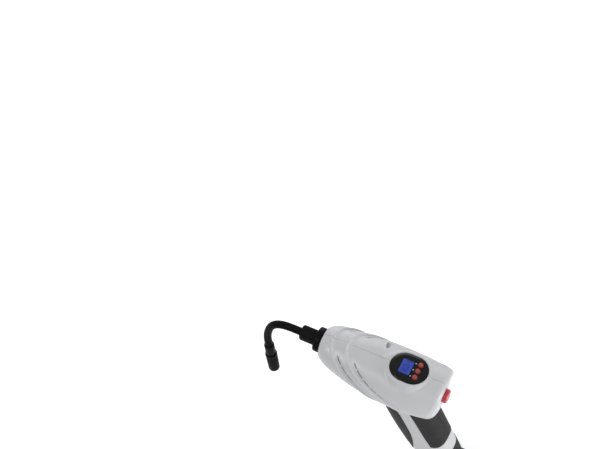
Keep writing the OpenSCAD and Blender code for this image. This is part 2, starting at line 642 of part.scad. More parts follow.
module crank_gear() color([0.85, 0.85, 0.8])
    translate([crank_x, 0, gear_z]) difference() {
        union() {
            linear_extrude(gear_thick) gear_outline(gear_teeth, 0);
            cylinder(r = stroke / 2 + 4.5, h = gear_thick + disc_thick, $fn = 48);
        }
        translate([0, 0, -1]) cylinder(r = axle_r + fit, h = gear_thick + disc_thick + 2, $fn = 32);
        translate([stroke / 2, 0, gear_thick - 2]) cylinder(r = axle_r, h = 10, $fn = 32);
        for (i = [0:5]) rotate([0, 0, 60 * i + 30]) translate([17.5, 0, -1])
            cylinder(r = 4, h = gear_thick + 2, $fn = 32);
    }
module crank_pin() color("silver")
    translate([crank_x + stroke / 2, 0, disc_z - 2])
        cylinder(r = axle_r, h = rod_low_z - gap - disc_z + 2, $fn = 32);
module gear_axle() color("silver")
    translate([crank_x, 0, frame_low_z])
        cylinder(r = axle_r, h = disc_z + disc_thick - frame_low_z - 0.5, $fn = 32);

wall_x = crank_x - gear_tip_r - 1.5;     // rear face of the frame's upright wall
wall_thick = 3.5;
bore_r = bore_d / 2;
liner_r = bore_r + 1.8;
module pump_frame() color("darkgray")
    difference() {
        union() {
            translate([0, 0, frame_low_z]) linear_extrude(frame_thick) hull() {
                translate([motor_x, 0]) circle(d = 38, $fn = 48);
                translate([crank_x - 10, 0]) circle(d = 32, $fn = 48);
                translate([wall_x - wall_thick, -15]) square([1, 30]);
            }
            translate([crank_x, 0, frame_low_z]) cylinder(r = 5, h = gear_z - gap - frame_low_z, $fn = 32);
            translate([wall_x - wall_thick, -15, frame_low_z]) cube([wall_thick, 30, nose_z - frame_low_z]);
            along_x(wall_x - wall_thick, nose_z) cylinder(r = liner_r + 2.4, h = wall_thick, $fn = 64);
        }
        translate([crank_x, 0, frame_low_z - 1]) cylinder(r = axle_r, h = frame_thick + 6, $fn = 32);
        translate([motor_x, 0, frame_low_z - 1]) cylinder(r = 6.5, h = 10, $fn = 32);
        for (s = [-1, 1]) translate([motor_x, s * motor_bolt_r, frame_low_z - 1])
            cylinder(r = 1.35, h = 10, $fn = 24);
        along_x(wall_x - wall_thick - 1, nose_z) cylinder(r = liner_r, h = wall_thick + 2, $fn = 64);
    }

// ---- Pump ----

pin_rest_x = crank_x + stroke / 2;
piston_rear_x = pin_rest_x - rod_len;
piston_thick = 6;
crown_x = piston_rear_x - piston_thick;
head_rear_x = crown_x - stroke - gap;
head_thick = 10;
head_front_x = head_rear_x - head_thick;
head_r = liner_r + 3.4;
bolt_ring = liner_r + 1.7;
bolt_r = 1.2;
bolt_head_r = 1.6;
flange_thick = 4;
seal_thick = 1;
fin_count = 4;
fin_pitch = 3.4;
module connecting_rod() color("silver")
    difference() {
        union() {
            translate([pin_rest_x, 0, rod_low_z]) cylinder(r = 5, h = rod_thick, $fn = 48);
            translate([piston_rear_x, -3, rod_low_z]) cube([rod_len, 6, rod_thick]);
        }
        translate([pin_rest_x, 0, rod_low_z - 1]) cylinder(r = axle_r + fit, h = rod_thick + 2, $fn = 32);
    }
module piston() color("silver")
    along_x(crown_x, nose_z) difference() {
        cylinder(r = bore_r - 0.3, h = piston_thick, $fn = 64);
        translate([0, 0, 2]) difference() {
            cylinder(r = bore_r + 1, h = 2, $fn = 64);
            translate([0, 0, -1]) cylinder(r = bore_r - 2, h = 4, $fn = 64);
        }
    }
module piston_seal() color([0.9, 0.9, 0.9])
    along_x(crown_x + 2, nose_z) difference() {
        cylinder(r = bore_r - fit, h = 2, $fn = 64);
        translate([0, 0, -1]) cylinder(r = bore_r - 2, h = 4, $fn = 64);
    }
module head_bolt_places() for (i = [0:3]) rotate([0, 0, 45 + 90 * i]) translate([bolt_ring, 0, 0]) children();
module pump_cylinder() color("silver")
    along_x(head_rear_x, nose_z) difference() {
        union() {
            cylinder(r = liner_r, h = wall_x - head_rear_x, $fn = 64);
            cylinder(r = head_r, h = flange_thick, $fn = 64);
            for (i = [1:fin_count]) translate([0, 0, flange_thick + i * fin_pitch - 1])
                cylinder(r = head_r - 1.2, h = 1, $fn = 64);
        }
        translate([0, 0, -1]) cylinder(r = bore_r, h = wall_x - head_rear_x + 2, $fn = 64);
        head_bolt_places() translate([0, 0, -1]) cylinder(r = bolt_r + fit, h = flange_thick + 2, $fn = 24);
    }
module head_seal() color([0.2, 0.2, 0.2])
    along_x(head_rear_x - seal_thick, nose_z) difference() {
        cylinder(r = liner_r - 0.1, h = seal_thick, $fn = 64);
        translate([0, 0, -1]) cylinder(r = bore_r, h = seal_thick + 2, $fn = 64);
    }
module cylinder_head() color("darkgray")
    along_x(head_front_x, nose_z) difference() {
        cylinder(r = head_r, h = head_thick - seal_thick, $fn = 64);
        for (i = [0:1]) translate([0, 0, 2 + i * 3.2]) difference() {
            cylinder(r = head_r + 1, h = 1.4, $fn = 64);
            translate([0, 0, -1]) cylinder(r = head_r - 3.4, h = 4, $fn = 64);
        }
        translate([0, 0, -1]) cylinder(r = air_bore_r, h = head_thick + 2, $fn = 24);
        head_bolt_places() translate([0, 0, -1]) cylinder(r = bolt_r + fit, h = head_thick + 2, $fn = 24);
    }
module head_screws() color("dimgray")
    along_x(head_front_x, nose_z) head_bolt_places() {
        cylinder(r = bolt_r, h = head_thick + flange_thick - 0.5, $fn = 24);
        translate([0, 0, -1.5]) cylinder(r = bolt_head_r, h = 1.5, $fn = 24);
    }
sensor_at = [display_x - 14, 9];
sensor_size = [10, 10.6, 5.6];
tube_r = 1.4;
tube_y = sensor_at[1] + sensor_size[1] - 1.8;
tube_z = board_z - 4;
port_x = head_front_x + 4.3;
port_reach = norm([tube_y, tube_z - nose_z]);
module pressure_sensor() color([0.15, 0.15, 0.16])
    translate([sensor_at[0], sensor_at[1], board_z - sensor_size[2]]) cube(sensor_size);
module sensor_tube() color([0.85, 0.85, 0.8]) {
    translate([port_x, tube_y, tube_z]) rotate([0, 90, 0])
        cylinder(r = tube_r, h = sensor_at[0] - port_x, $fn = 24);
    translate([port_x, tube_y, tube_z]) sphere(r = tube_r, $fn = 24);
    translate([port_x, 0, nose_z]) rotate([atan2(tube_z - nose_z, tube_y) - 90, 0, 0])
        translate([0, 0, head_r]) cylinder(r = 1, h = port_reach - head_r, $fn = 24);
}

// ---- Battery stem and pack ----

// Lean of the battery stem from upright, in degrees: that of the handle's axis over the stem's middle
stem_lean = grip_lean(foot_top + 48);
stem_wall = 1.2;
stem_len = cell_len + 9;
stem_half = [cell_d + 1.6, cell_d / 2 + 1.4];
pack_corner = 16;
base_h = 9;
pack_wall = 2.4;
pack_top = foot_top - slip;
cell_low = -2;           // start of the cells along the stem
blade_thick = 0.8;
blade_w = 5;
blade_pitch = 9;
block_half_w = 8;
contact_d = stem_len + 1.5;  // start of the contact block along the stem
contact_h = 6;
latch_w = 15;
latch_z = [base_h + 2, pack_top - 4];
latch_depth = 3;
latch_floor_y = pack_w / 2 - latch_depth - latch_travel - gap;
arm_y = pack_w / 2 - 9.5;
arm_thick = 2;
arm_w = 10;
arm_top = foot_top + 12;
pack_screw_x = pack_len / 2 - 8.5;
pack_screw_y = pack_w / 2 - 8.5;
// Local +Z runs up the stem from the middle of the handle's lower end.
module on_stem(d) translate([0, 0, foot_top]) rotate([0, -stem_lean, 0]) translate([0, 0, d]) children();
module stem_outline(grow) {
    for (s = [-1, 1]) translate([s * (stem_half[0] - stem_half[1]), 0])
        circle(r = stem_half[1] + grow, $fn = 48);
    square([2 * (stem_half[0] - stem_half[1]), 2 * stem_half[1] + 2 * grow], center = true);
}
module pack_outline(inset) {
    a = pack_len / 2 - pack_corner;
    b = pack_w / 2 - pack_corner;
    for (x = [-a, a], y = [-b, b]) translate([x, y]) circle(r = pack_corner - inset, $fn = 48);
    square([2 * a, pack_w - 2 * inset], center = true);
    square([pack_len - 2 * inset, 2 * b], center = true);
}
module pack_screw_places()
    for (a = [-1, 1], b = [-1, 1]) translate([a * pack_screw_x, b * pack_screw_y, 0]) children();
module battery_base() color([0.16, 0.16, 0.17])
    difference() {
        union() {
            difference() {
                union() {
                    linear_extrude(1.2) pack_outline(1.2);
                    translate([0, 0, 1.2]) linear_extrude(base_h - 1.2) pack_outline(0);
                }
                translate([0, 0, pack_wall]) linear_extrude(base_h) pack_outline(pack_wall);
            }
            pack_screw_places() cylinder(r = 3.6, h = base_h, $fn = 24);
        }
        pack_screw_places() {
            translate([0, 0, -1]) cylinder(r = 1.3, h = base_h + 2, $fn = 24);
            translate([0, 0, -1]) cylinder(r = 2.5, h = 3.5, $fn = 24);
        }
    }
module battery_case() color([0.16, 0.16, 0.17])
    difference() {
        union() {
            difference() {
                union() {
                    translate([0, 0, base_h]) linear_extrude(pack_top - 1.2 - base_h) pack_outline(0);
                    translate([0, 0, pack_top - 1.3]) linear_extrude(1.3) pack_outline(1.2);
                }
                translate([0, 0, base_h - 1]) linear_extrude(pack_top - pack_wall - base_h + 1)
                    pack_outline(pack_wall);
            }
            pack_screw_places() translate([0, 0, base_h])
                cylinder(r = 3.6, h = pack_top - base_h - 1, $fn = 24);
            on_stem(-5) linear_extrude(stem_len + 5) stem_outline(0);
        }
        on_stem(-6) linear_extrude(stem_len + 6 - 3) stem_outline(-stem_wall);
        pack_screw_places() translate([0, 0, base_h - 1]) cylinder(r = 1.15, h = 10, $fn = 24);
        for (i = [-1:1]) on_stem(stem_len - 3.5)
            translate([i * blade_pitch - blade_w / 2 - 0.3, -blade_thick / 2 - 0.4, 0])
            cube([blade_w + 0.6, blade_thick + 0.8, 6]);
        for (side = [-1, 1]) {
            translate([-latch_w / 2 - gap, side > 0 ? latch_floor_y : -pack_w / 2 - 1, latch_z[0] - gap])
                cube([latch_w + 2 * gap, latch_depth + latch_travel + gap + 1,
                    latch_z[1] - latch_z[0] + 2 * gap]);
            translate([-arm_w / 2 - gap, side * arm_y - arm_thick / 2 - gap - (side > 0 ? latch_travel : 0),
                pack_top - 6])
                cube([arm_w + 2 * gap, arm_thick + latch_travel + 2 * gap, 8]);
        }
    }
module battery_cells() color([0.3, 0.5, 0.75])
    for (s = [-1, 1]) on_stem(cell_low) translate([s * (cell_d / 2 + 0.1), 0, 0]) {
        cylinder(d = cell_d, h = cell_len - 1, $fn = 48);
        cylinder(r = 3, h = cell_len, $fn = 24);
    }
module cell_board() color("darkgreen")
    translate([-pack_len / 2 + 8, -12, pack_wall]) cube([pack_len - 16, 24, board_thick]);
module battery_contacts() color([0.75, 0.6, 0.25])
    for (i = [-1:1]) on_stem(cell_low + cell_len + 0.1) translate([i * blade_pitch - 1.5, -1, 0])
        cube([3, 2, stem_len - 3 - cell_low - cell_len - 0.2]);
module handle_contacts() color([0.75, 0.6, 0.25]) {
    on_stem(contact_d) translate([5 - stem_half[0], -block_half_w, 0])
        cube([2 * stem_half[0] - 10, 2 * block_half_w, contact_h]);
    for (i = [-1:1]) on_stem(stem_len - 2) translate([i * blade_pitch - blade_w / 2, -blade_thick / 2, 0])
        cube([blade_w, blade_thick, 4]);
}
module latch(side) color([0.25, 0.25, 0.26])
    mirror([0, side > 0 ? 0 : 1, 0]) {
        difference() {
            translate([-latch_w / 2, pack_w / 2 - latch_depth, latch_z[0]])
                cube([latch_w, latch_depth + 0.8, latch_z[1] - latch_z[0]]);
            for (i = [0:3]) translate([-latch_w / 2 - 1, pack_w / 2 + 0.3, latch_z[0] + 1.2 + 2 * i])
                cube([latch_w + 2, 2, 0.8]);
        }
        translate([-arm_w / 2, arm_y - arm_thick / 2, latch_z[0] + 2])
            cube([arm_w, arm_thick, arm_top - latch_z[0] - 2]);
        translate([-arm_w / 2, arm_y, latch_z[0] + 2])
            cube([arm_w, pack_w / 2 - latch_depth - arm_y + 0.1, 2]);
    }
module left_latch() latch(-1);
module right_latch() latch(1);
module latch_springs() color("silver")
    for (side = [-1, 1]) translate([-2, side * (stem_half[1] + 0.1), foot_top + 6]) rotate([side * -90, 0, 0])
        coil(2.2, 0.3, arm_y - arm_thick / 2 - stem_half[1] - 0.2, 3);
module battery_screws() color("dimgray")
    pack_screw_places() {
        translate([0, 0, 2.5]) cylinder(r = 1.1, h = 14, $fn = 24);
        translate([0, 0, 0.8]) cylinder(r = 2.3, h = 1.7, $fn = 24);
    }

// ---- Electronics in the handle ----

contact_x = -contact_d * sin(stem_lean);
contact_z = foot_top + contact_d * cos(stem_lean);
control_room = motor_low_z - slip - 3 - contact_z - contact_h;  // from the contacts to the motor's ledge
control_size = [28, 0.582 * control_room];
control_low_z = motor_low_z - slip - 3 - 0.1 * control_room - control_size[1];
control_corner = [grip_x(control_low_z + control_size[1] / 2) - control_size[0] / 2 - 3.6, control_low_z];
module control_board() color("darkgreen")
    translate([control_corner[0], -board_thick / 2, control_corner[1]]) {
        cube([control_size[0], board_thick, control_size[1]]);
        translate([2, board_thick, 0.2 * control_size[1]]) cube([6, 3, 0.42 * control_size[1]]);
        translate([18, board_thick, 0.16 * control_size[1]]) cube([8, 5, 0.53 * control_size[1]]);
    }

// Ribs that carry the inner pieces: [x, z] low corner, [x, z] size, and the distance from the middle plane.
ribs = [
    [[switch_front_x + 4.5, button_z - 7], [3, 14], switch_w / 2 + gap],
    [[wall_x + 9, frame_low_z - slip - 9], [3, 9], 12],
    [[motor_x + 8, frame_low_z - slip - 9], [3, 9], 12],
    [[motor_x - 14, motor_low_z - slip - 3], [28, 3], 9],
    [[control_corner[0] + 10, control_corner[1] + 0.2 * control_size[1]], [3, 0.6 * control_size[1]],
        board_thick / 2 + gap],
    [[contact_x - 10.3, contact_z - 2.6], [8, 14], block_half_w + gap]
];
module rib_block(r, side)
    translate([r[0][0], side > 0 ? r[2] : -60, r[0][1]]) cube([r[1][0], 60 - r[2], r[1][1]]);

left_shell();
right_shell();
shell_screws();
front_grip();
left_side_grip();
right_side_grip();
lower_grip();
nose_collar();
collar_nut();
display_bezel();
lcd_window();
lcd_module();
indicator_lights();
display_board();
key_domes();
minus_key();
mode_key();
plus_key();
power_button();
button_spring();
power_switch();
pump_frame();
motor_can();
motor_end_cap();
motor_screws();
rotor_core();
rotor_shaft();
commutator();
motor_pinion();
crank_gear();
crank_pin();
gear_axle();
connecting_rod();
piston();
piston_seal();
pump_cylinder();
head_seal();
cylinder_head();
head_screws();
pressure_sensor();
sensor_tube();
control_board();
handle_contacts();
battery_case();
battery_base();
battery_cells();
cell_board();
battery_contacts();
left_latch();
right_latch();
latch_springs();
battery_screws();
outlet_barb();
hose_sleeve();
hose();
hose_ferrule();
chuck_body();
chuck_sleeve();
valve_seal();
valve_pin();
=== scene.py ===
"""Looks of a cordless tyre inflator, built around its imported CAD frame.

Forms are in millimetres and become metres when a mesh is made; the studio and the finishes are in metres.
+Z is up, -X points to the nose, -Y is the left side, and the origin is under the battery pack.
"""

import json
import logging
import math
from dataclasses import dataclass
from enum import Enum
from typing import Callable, ClassVar, Iterable, Sequence

import bpy
from mathutils import Matrix, Vector


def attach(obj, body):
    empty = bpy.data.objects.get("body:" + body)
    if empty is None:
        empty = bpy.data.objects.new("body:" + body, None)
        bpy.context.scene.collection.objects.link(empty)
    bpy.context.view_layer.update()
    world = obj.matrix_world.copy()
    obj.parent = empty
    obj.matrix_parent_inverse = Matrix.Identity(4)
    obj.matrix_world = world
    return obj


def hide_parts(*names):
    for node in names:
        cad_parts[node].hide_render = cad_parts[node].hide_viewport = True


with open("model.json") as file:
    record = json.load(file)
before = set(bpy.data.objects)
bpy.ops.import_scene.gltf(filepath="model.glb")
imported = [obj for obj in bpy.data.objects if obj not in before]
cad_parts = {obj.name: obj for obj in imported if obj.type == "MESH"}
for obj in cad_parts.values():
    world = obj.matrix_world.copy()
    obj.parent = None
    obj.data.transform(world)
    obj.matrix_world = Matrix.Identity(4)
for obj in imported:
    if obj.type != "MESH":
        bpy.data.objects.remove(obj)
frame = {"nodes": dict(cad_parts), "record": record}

LOG = logging.getLogger("inflator")
MM = 0.001

Piece = bpy.types.Object
Pair = tuple[float, float]
Pairs = tuple[Pair, ...]
Point = tuple[float, float, float]
Colour = tuple[float, float, float]
Ring = list[Point]

TOP_Z = 213.0  # the barrel's top line
THROUGH = 60.0  # beyond every wall, for cutters that go right through


# ---------------------------------------------------------------- small maths


def mix(a: float, b: float, t: float) -> float:
    """Return the value between a and b at share t."""
    return a + (b - a) * t


def smooth(low: float, high: float, x: float) -> float:
    """Return 0 below low, 1 above high and a smooth step between them."""
    t = min(1.0, max(0.0, (x - low) / (high - low)))
    return t * t * (3.0 - 2.0 * t)


def smooth_max(a: float, b: float, blend: float) -> float:
    """Return the larger of two heights, rounded where they differ by less than blend."""
    gap = max(0.0, blend - abs(a - b)) / blend
    return max(a, b) + gap * gap * blend * 0.25


def along(points: Sequence[Pair], x: float) -> float:
    """Read a line of points at one place.

    Args:
        points: Pairs that rise in x.
        x: The place.

    Returns:
        The line's height there, which stays level beyond its ends.
    """
    if x <= points[0][0]:
        return points[0][1]
    for (x0, y0), (x1, y1) in zip(points, points[1:]):
        if x <= x1:
            return mix(y0, y1, (x - x0) / (x1 - x0))
    return points[-1][1]


def spread(first: float, last: float, count: int, power: float = 1.0) -> list[float]:
    """Return count + 1 values from first to last, closer to first when power is over 1."""
    return [mix(first, last, (i / count) ** power) for i in range(count + 1)]


# ---------------------------------------------------------------- modelling bench


class Side(Enum):
    """The two halves of the case, by the sign of Y."""

    LEFT = -1
    RIGHT = 1


class Act(Enum):
    """What one solid does to another."""

    CUT = "DIFFERENCE"
    ADD = "UNION"
    SHARE = "INTERSECT"


class Bench:
    """Mesh tools that every sub-assembly uses."""

    @staticmethod
    def clear() -> None:
        """Leave edit mode and deselect everything."""
        if bpy.context.object and bpy.context.object.mode != "OBJECT":
            bpy.ops.object.mode_set(mode="OBJECT")
        bpy.ops.object.select_all(action="DESELECT")

    @classmethod
    def take(cls, *objects: Piece) -> None:
        """Select some objects alone.

        Args:
            objects: The objects, of which the first becomes active.
        """
        cls.clear()
        for obj in objects:
            obj.select_set(True)
        bpy.context.view_layer.objects.active = objects[0]

    @staticmethod
    def named(name: str) -> Piece:
        """Name the object that was just added, with its data, and return it."""
        bpy.context.object.name = bpy.context.object.data.name = name
        return bpy.context.object

    @classmethod
    def edit_all(cls, obj: Piece) -> None:
        """Enter edit mode with all of one object selected.

        Args:
            obj: The object.
        """
        cls.take(obj)
        bpy.ops.object.mode_set(mode="EDIT")
        bpy.ops.mesh.select_all(action="SELECT")

    @staticmethod
    def close_up() -> None:
        """Point all faces outwards and leave edit mode."""
        bpy.ops.mesh.select_all(action="SELECT")
        bpy.ops.mesh.normals_make_consistent(inside=False)
        bpy.ops.object.mode_set(mode="OBJECT")

    @classmethod
    def shaped_grid(cls, name: str, columns: int, rows: int, place: Callable[[int, int], Point]) -> Piece:
        """Add a grid, move its points onto a surface and merge its seams.

        Args:
            name: Name of the new object.
            columns: Points along the first direction.
            rows: Points along the second direction.
            place: Gives the place for a column and a row.

        Returns:
            The new object, with its place in its mesh and its faces turned outwards.
        """
        cls.clear()
        bpy.ops.mesh.primitive_grid_add(x_subdivisions=columns - 1, y_subdivisions=rows - 1, size=1.0)
        obj = cls.named(name)
        spots = [c * MM for j in range(rows) for i in range(columns) for c in place(i, j)]
        obj.data.vertices.foreach_set("co", spots)
        obj.data.update()
        cls.edit_all(obj)
        bpy.ops.mesh.remove_doubles(threshold=1e-6)
        cls.close_up()
        return obj

    @classmethod
    def stacked(cls, name: str, rings: Sequence[Ring]) -> Piece:
        """Close a stack of rings into one solid, with a face over the first and the last ring.

        Args:
            name: Name of the new object.
            rings: Rings with the same number of points.

        Returns:
            The solid.
        """
        count = len(rings[0])
        obj = cls.shaped_grid(name, count + 1, len(rings), lambda i, j: rings[j][i % count])
        cls.edit_all(obj)
        bpy.ops.mesh.select_all(action="DESELECT")
        bpy.ops.mesh.select_mode(type="EDGE")
        bpy.ops.mesh.select_non_manifold(
            extend=False, use_wire=False, use_multi_face=False, use_non_contiguous=False
        )
        bpy.ops.mesh.fill_holes(sides=0)
        bpy.ops.mesh.select_mode(type="VERT")
        cls.close_up()
        return obj

    @classmethod
    def turned(cls, name: str, profile: Sequence[Pair], place: Matrix, sides: int = 96) -> Piece:
        """Turn a solid on a lathe: a disc is drawn out and resized along its profile.

        Args:
            name: Name of the new object.
            profile: Distance along the axis and radius of each step.
            place: Turns the lathe's +Z axis and origin into the part's frame.
            sides: Points round the axis.

        Returns:
            The solid, with its place in its mesh.
        """
        cls.clear()
        start, radius = profile[0]
        bpy.ops.mesh.primitive_circle_add(
            vertices=sides, radius=radius * MM, fill_type="NGON", location=(0.0, 0.0, start * MM)
        )
        obj = cls.named(name)
        bpy.ops.object.transform_apply(location=True, rotation=True, scale=True)
        cls.edit_all(obj)
        for (d0, r0), (d1, r1) in zip(profile, profile[1:]):
            bpy.ops.mesh.extrude_region_move(TRANSFORM_OT_translate={"value": (0.0, 0.0, (d1 - d0) * MM)})
            bpy.ops.transform.resize(value=(r1 / r0, r1 / r0, 1.0), center_override=(0.0, 0.0, d1 * MM))
        cls.close_up()
        obj.data.transform(place)
        return obj

    @classmethod
    def block(cls, name: str, low: Point, high: Point) -> Piece:
        """Add a box, as a cutter or as a small bar.

        Args:
            name: Name of the new object.
            low: Its lowest corner.
            high: Its highest corner.

        Returns:
            The box, with its place in its mesh.
        """
        cls.clear()
        bpy.ops.mesh.primitive_cube_add(size=1.0)
        obj = cls.named(name)
        size = [(b - a) * MM for a, b in zip(low, high)]
        middle = [(b + a) / 2 * MM for a, b in zip(low, high)]
        obj.data.transform(Matrix.Translation(middle) @ Matrix.Diagonal((*size, 1.0)))
        return obj

    @classmethod
    def joined(cls, pieces: Sequence[Piece]) -> Piece:
        """Join several objects into the first one.

        Args:
            pieces: The objects.

        Returns:
            The first one.
        """
        cls.take(*pieces)
        bpy.ops.object.join()
        return pieces[0]

    @classmethod
    def modified(cls, obj: Piece, kind: str, **settings: object) -> Piece:
        """Apply one modifier.

        Args:
            obj: The object.
            kind: The modifier's type.
            settings: Its settings.

        Returns:
            The changed object.
        """
        cls.take(obj)
        step = obj.modifiers.new(kind.lower(), kind)
        for key, value in settings.items():
            setattr(step, key, value)
        bpy.ops.object.modifier_apply(modifier=step.name)
        return obj

    @classmethod
    def combine(cls, obj: Piece, *others: Piece, act: Act = Act.CUT) -> Piece:
        """Change one solid by others, which are used up.

        Args:
            obj: The solid that changes.
            others: The solids that act on it, one after the other.
            act: What they do.

        Returns:
            The changed solid.
        """
        for other in others:
            cls.modified(obj, "BOOLEAN", operation=act.value, solver="MANIFOLD", object=other)
            bpy.data.objects.remove(other)
        return obj


def facing(origin: Point, axis: Point) -> Matrix:
    """Return the place that turns +Z into an axis and moves it to an origin in millimetres."""
    turn = Vector(axis).to_track_quat("Z", "Y").to_matrix().to_4x4()
    return Matrix.Translation(Vector(origin) * MM) @ turn


# ---------------------------------------------------------------- shader maths


class Wire:
    """An output socket whose maths is written with Python's operators."""

    USUAL: Pair = (0.3, 0.7)  # range in which nearly all of a noise lies

    def __init__(self, graph: "Graph", socket: bpy.types.NodeSocket) -> None:
        """Wrap a socket of one graph."""
        self.graph, self.socket = graph, socket

    def _maths(self, operation: str, *values: "Wire | float") -> "Wire":
        """Add one Math node to this wire's graph."""
        return self.graph.node("ShaderNodeMath", dict(enumerate(values)), operation=operation)["Value"]

    def __add__(self, other: "Wire | float") -> "Wire":
        """Add."""
        return self._maths("ADD", self, other)

    def __sub__(self, other: "Wire | float") -> "Wire":
        """Subtract."""
        return self._maths("SUBTRACT", self, other)

    def __rsub__(self, other: float) -> "Wire":
        """Subtract the wire from a number."""
        return self._maths("SUBTRACT", other, self)

    def __mul__(self, other: "Wire | float") -> "Wire":
        """Multiply."""
        return self._maths("MULTIPLY", self, other)

    def __or__(self, other: "Wire | float") -> "Wire":
        """Return the larger one."""
        return self._maths("MAXIMUM", self, other)

    __radd__, __rmul__, __ror__ = __add__, __mul__, __or__

    def step(self, low: float, high: float, out_low: float = 0.0, out_high: float = 1.0) -> "Wire":
        """Map a range smoothly onto another one."""
        values = {"Value": self, "From Min": low, "From Max": high, "To Min": out_low, "To Max": out_high}
        return self.graph.node("ShaderNodeMapRange", values, interpolation_type="SMOOTHSTEP")["Result"]

    def level(self, low: float = 0.0, high: float = 1.0) -> "Wire":
        """Map a noise's usual range smoothly onto another one."""
        return self.step(*self.USUAL, low, high)


class Outputs:
    """A node whose outputs are read as wires, by name or by place."""

    def __init__(self, graph: "Graph", node: bpy.types.Node) -> None:
        """Keep the node."""
        self.graph, self.node = graph, node

    def __getitem__(self, key: "str | int") -> Wire:
        """Return one output."""
        return Wire(self.graph, self.node.outputs[key])


class Graph:
    """The nodes of a material or of the world."""

    def __init__(self, tree: bpy.types.NodeTree) -> None:
        """Start an empty graph in a tree."""
        self.tree = tree
        tree.nodes.clear()

    def node(self, kind: str, values: dict, **settings: object) -> Outputs:
        """Add a node.

        Args:
            kind: The node's type.
            values: Numbers, colours or wires for its inputs, by name or by place.
            settings: Its properties, which are set first.

        Returns:
            Its outputs.
        """
        node = self.tree.nodes.new(kind)
        for key, value in settings.items():
            setattr(node, key, value)
        for key, value in values.items():
            self.feed(node.inputs[key], value)
        return Outputs(self, node)

    def feed(self, socket: bpy.types.NodeSocket, value: "Wire | float | Sequence[float]") -> None:
        """Fill a socket.

        Args:
            socket: The input.
            value: A wire, which is linked, or a constant.
        """
        if isinstance(value, Wire):
            self.tree.links.new(value.socket, socket)
        else:
            socket.default_value = value

    def seen(self) -> Wire:
        """Return 1 for rays from the camera, off gloss or through glass, and 0 for the others."""
        path = self.node("ShaderNodeLightPath", {})
        return path["Is Camera Ray"] | path["Is Glossy Ray"] | path["Is Transmission Ray"]


class Paint(Graph):
    """One material under construction: a Principled shader and Object coordinates."""

    def __init__(self, name: str) -> None:
        """Start the material.

        Args:
            name: Its name.
        """
        self.material = bpy.data.materials.new(name)
        self.material.use_nodes = True
        super().__init__(self.material.node_tree)
        shader = self.node("ShaderNodeBsdfPrincipled", {})
        self.node("ShaderNodeOutputMaterial", {"Surface": shader["BSDF"]})
        self.sockets = shader.node.inputs
        self.spot = self.node("ShaderNodeTexCoord", {})["Object"]

    def set(self, **values: "Wire | float | Sequence[float]") -> None:
        """Feed the shader's sockets, named with underscores for spaces."""
        for key, value in values.items():
            self.feed(self.sockets[key.replace("_", " ")], value)

    def axis(self, name: str) -> Wire:
        """Return one of the Object coordinates, in metres."""
        return self.node("ShaderNodeSeparateXYZ", {"Vector": self.spot})[name]

    def stretched(self, scale: Point) -> Wire:
        """Return Object coordinates stretched by a Mapping node."""
        return self.node("ShaderNodeMapping", {"Vector": self.spot, "Scale": scale})["Vector"]

    def noise(self, scale: float, detail: float = 2.0, rough: float = 0.5, at: Wire | None = None) -> Wire:
        """Return soft noise from 0 to 1."""
        values = {"Vector": at or self.spot, "Scale": scale, "Detail": detail, "Roughness": rough}
        return self.node("ShaderNodeTexNoise", values)["Fac"]

    def bricks(self, scale: float, **values: float) -> Wire:
        """Return 1 in the joints between rows of cells and 0 on the cells."""
        sockets = {key.replace("_", " "): value for key, value in values.items()}
        return self.node("ShaderNodeTexBrick", {"Vector": self.spot, "Scale": scale, **sockets})["Fac"]

    def tint(self, share: Wire, low: "Colour | Wire", high: "Colour | Wire") -> Wire:
        """Return a colour between two colours, each a constant or a wire."""
        low, high = (end if isinstance(end, Wire) else (*end, 1.0) for end in (low, high))
        return self.node("ShaderNodeMix", {0: share, 6: low, 7: high}, data_type="RGBA")[2]

    def shades(self, share: Wire, colour: Colour, dark: float, light: float) -> Wire:
        """Return a colour that runs from a darker to a lighter shade of itself."""
        low, high = (tuple(min(1.0, c * factor) for c in colour) for factor in (dark, light))
        return self.tint(share, low, high)

    def bump(self, height: Wire, distance: float) -> Wire:
        """Return a normal roughened by a height, whose full swing is a distance in millimetres."""
        return self.node("ShaderNodeBump", {"Height": height, "Distance": distance * MM})["Normal"]


@dataclass(frozen=True)
class Finish:
    """A surface finish that can be brushed onto a material."""

    name: str
    colour: Colour

    def brush(self, paint: Paint) -> None:
        """Set the material's sockets; each kind of finish has its own way."""
        raise NotImplementedError


@dataclass(frozen=True)
class Moulded(Finish):
    """Moulded plastic with spark-eroded grain, faint flow marks and worn gloss."""

    roughness: float = 0.45
    grain: float = 0.02
    grain_scale: float = 1500.0
    variation: float = 0.04
    coat: float = 0.0
    shine: float = 0.5

    def brush(self, paint: Paint) -> None:
        """Lay flow marks under a fine grain.

        Args:
            paint: The material.
        """
        cloud = paint.noise(28.0, 3.0)
        speck = paint.noise(self.grain_scale, 2.0, 0.6)
        tone = (cloud * 0.7 + speck * 0.3).level()
        paint.set(
            Base_Color=paint.shades(tone, self.colour, 1 - self.variation, 1 + self.variation),
            Roughness=cloud.level(self.roughness * 0.92, self.roughness * 1.08),
            Normal=paint.bump(speck, self.grain),
            Coat_Weight=self.coat,
            Coat_Roughness=0.12,
            Specular_IOR_Level=self.shine,
        )


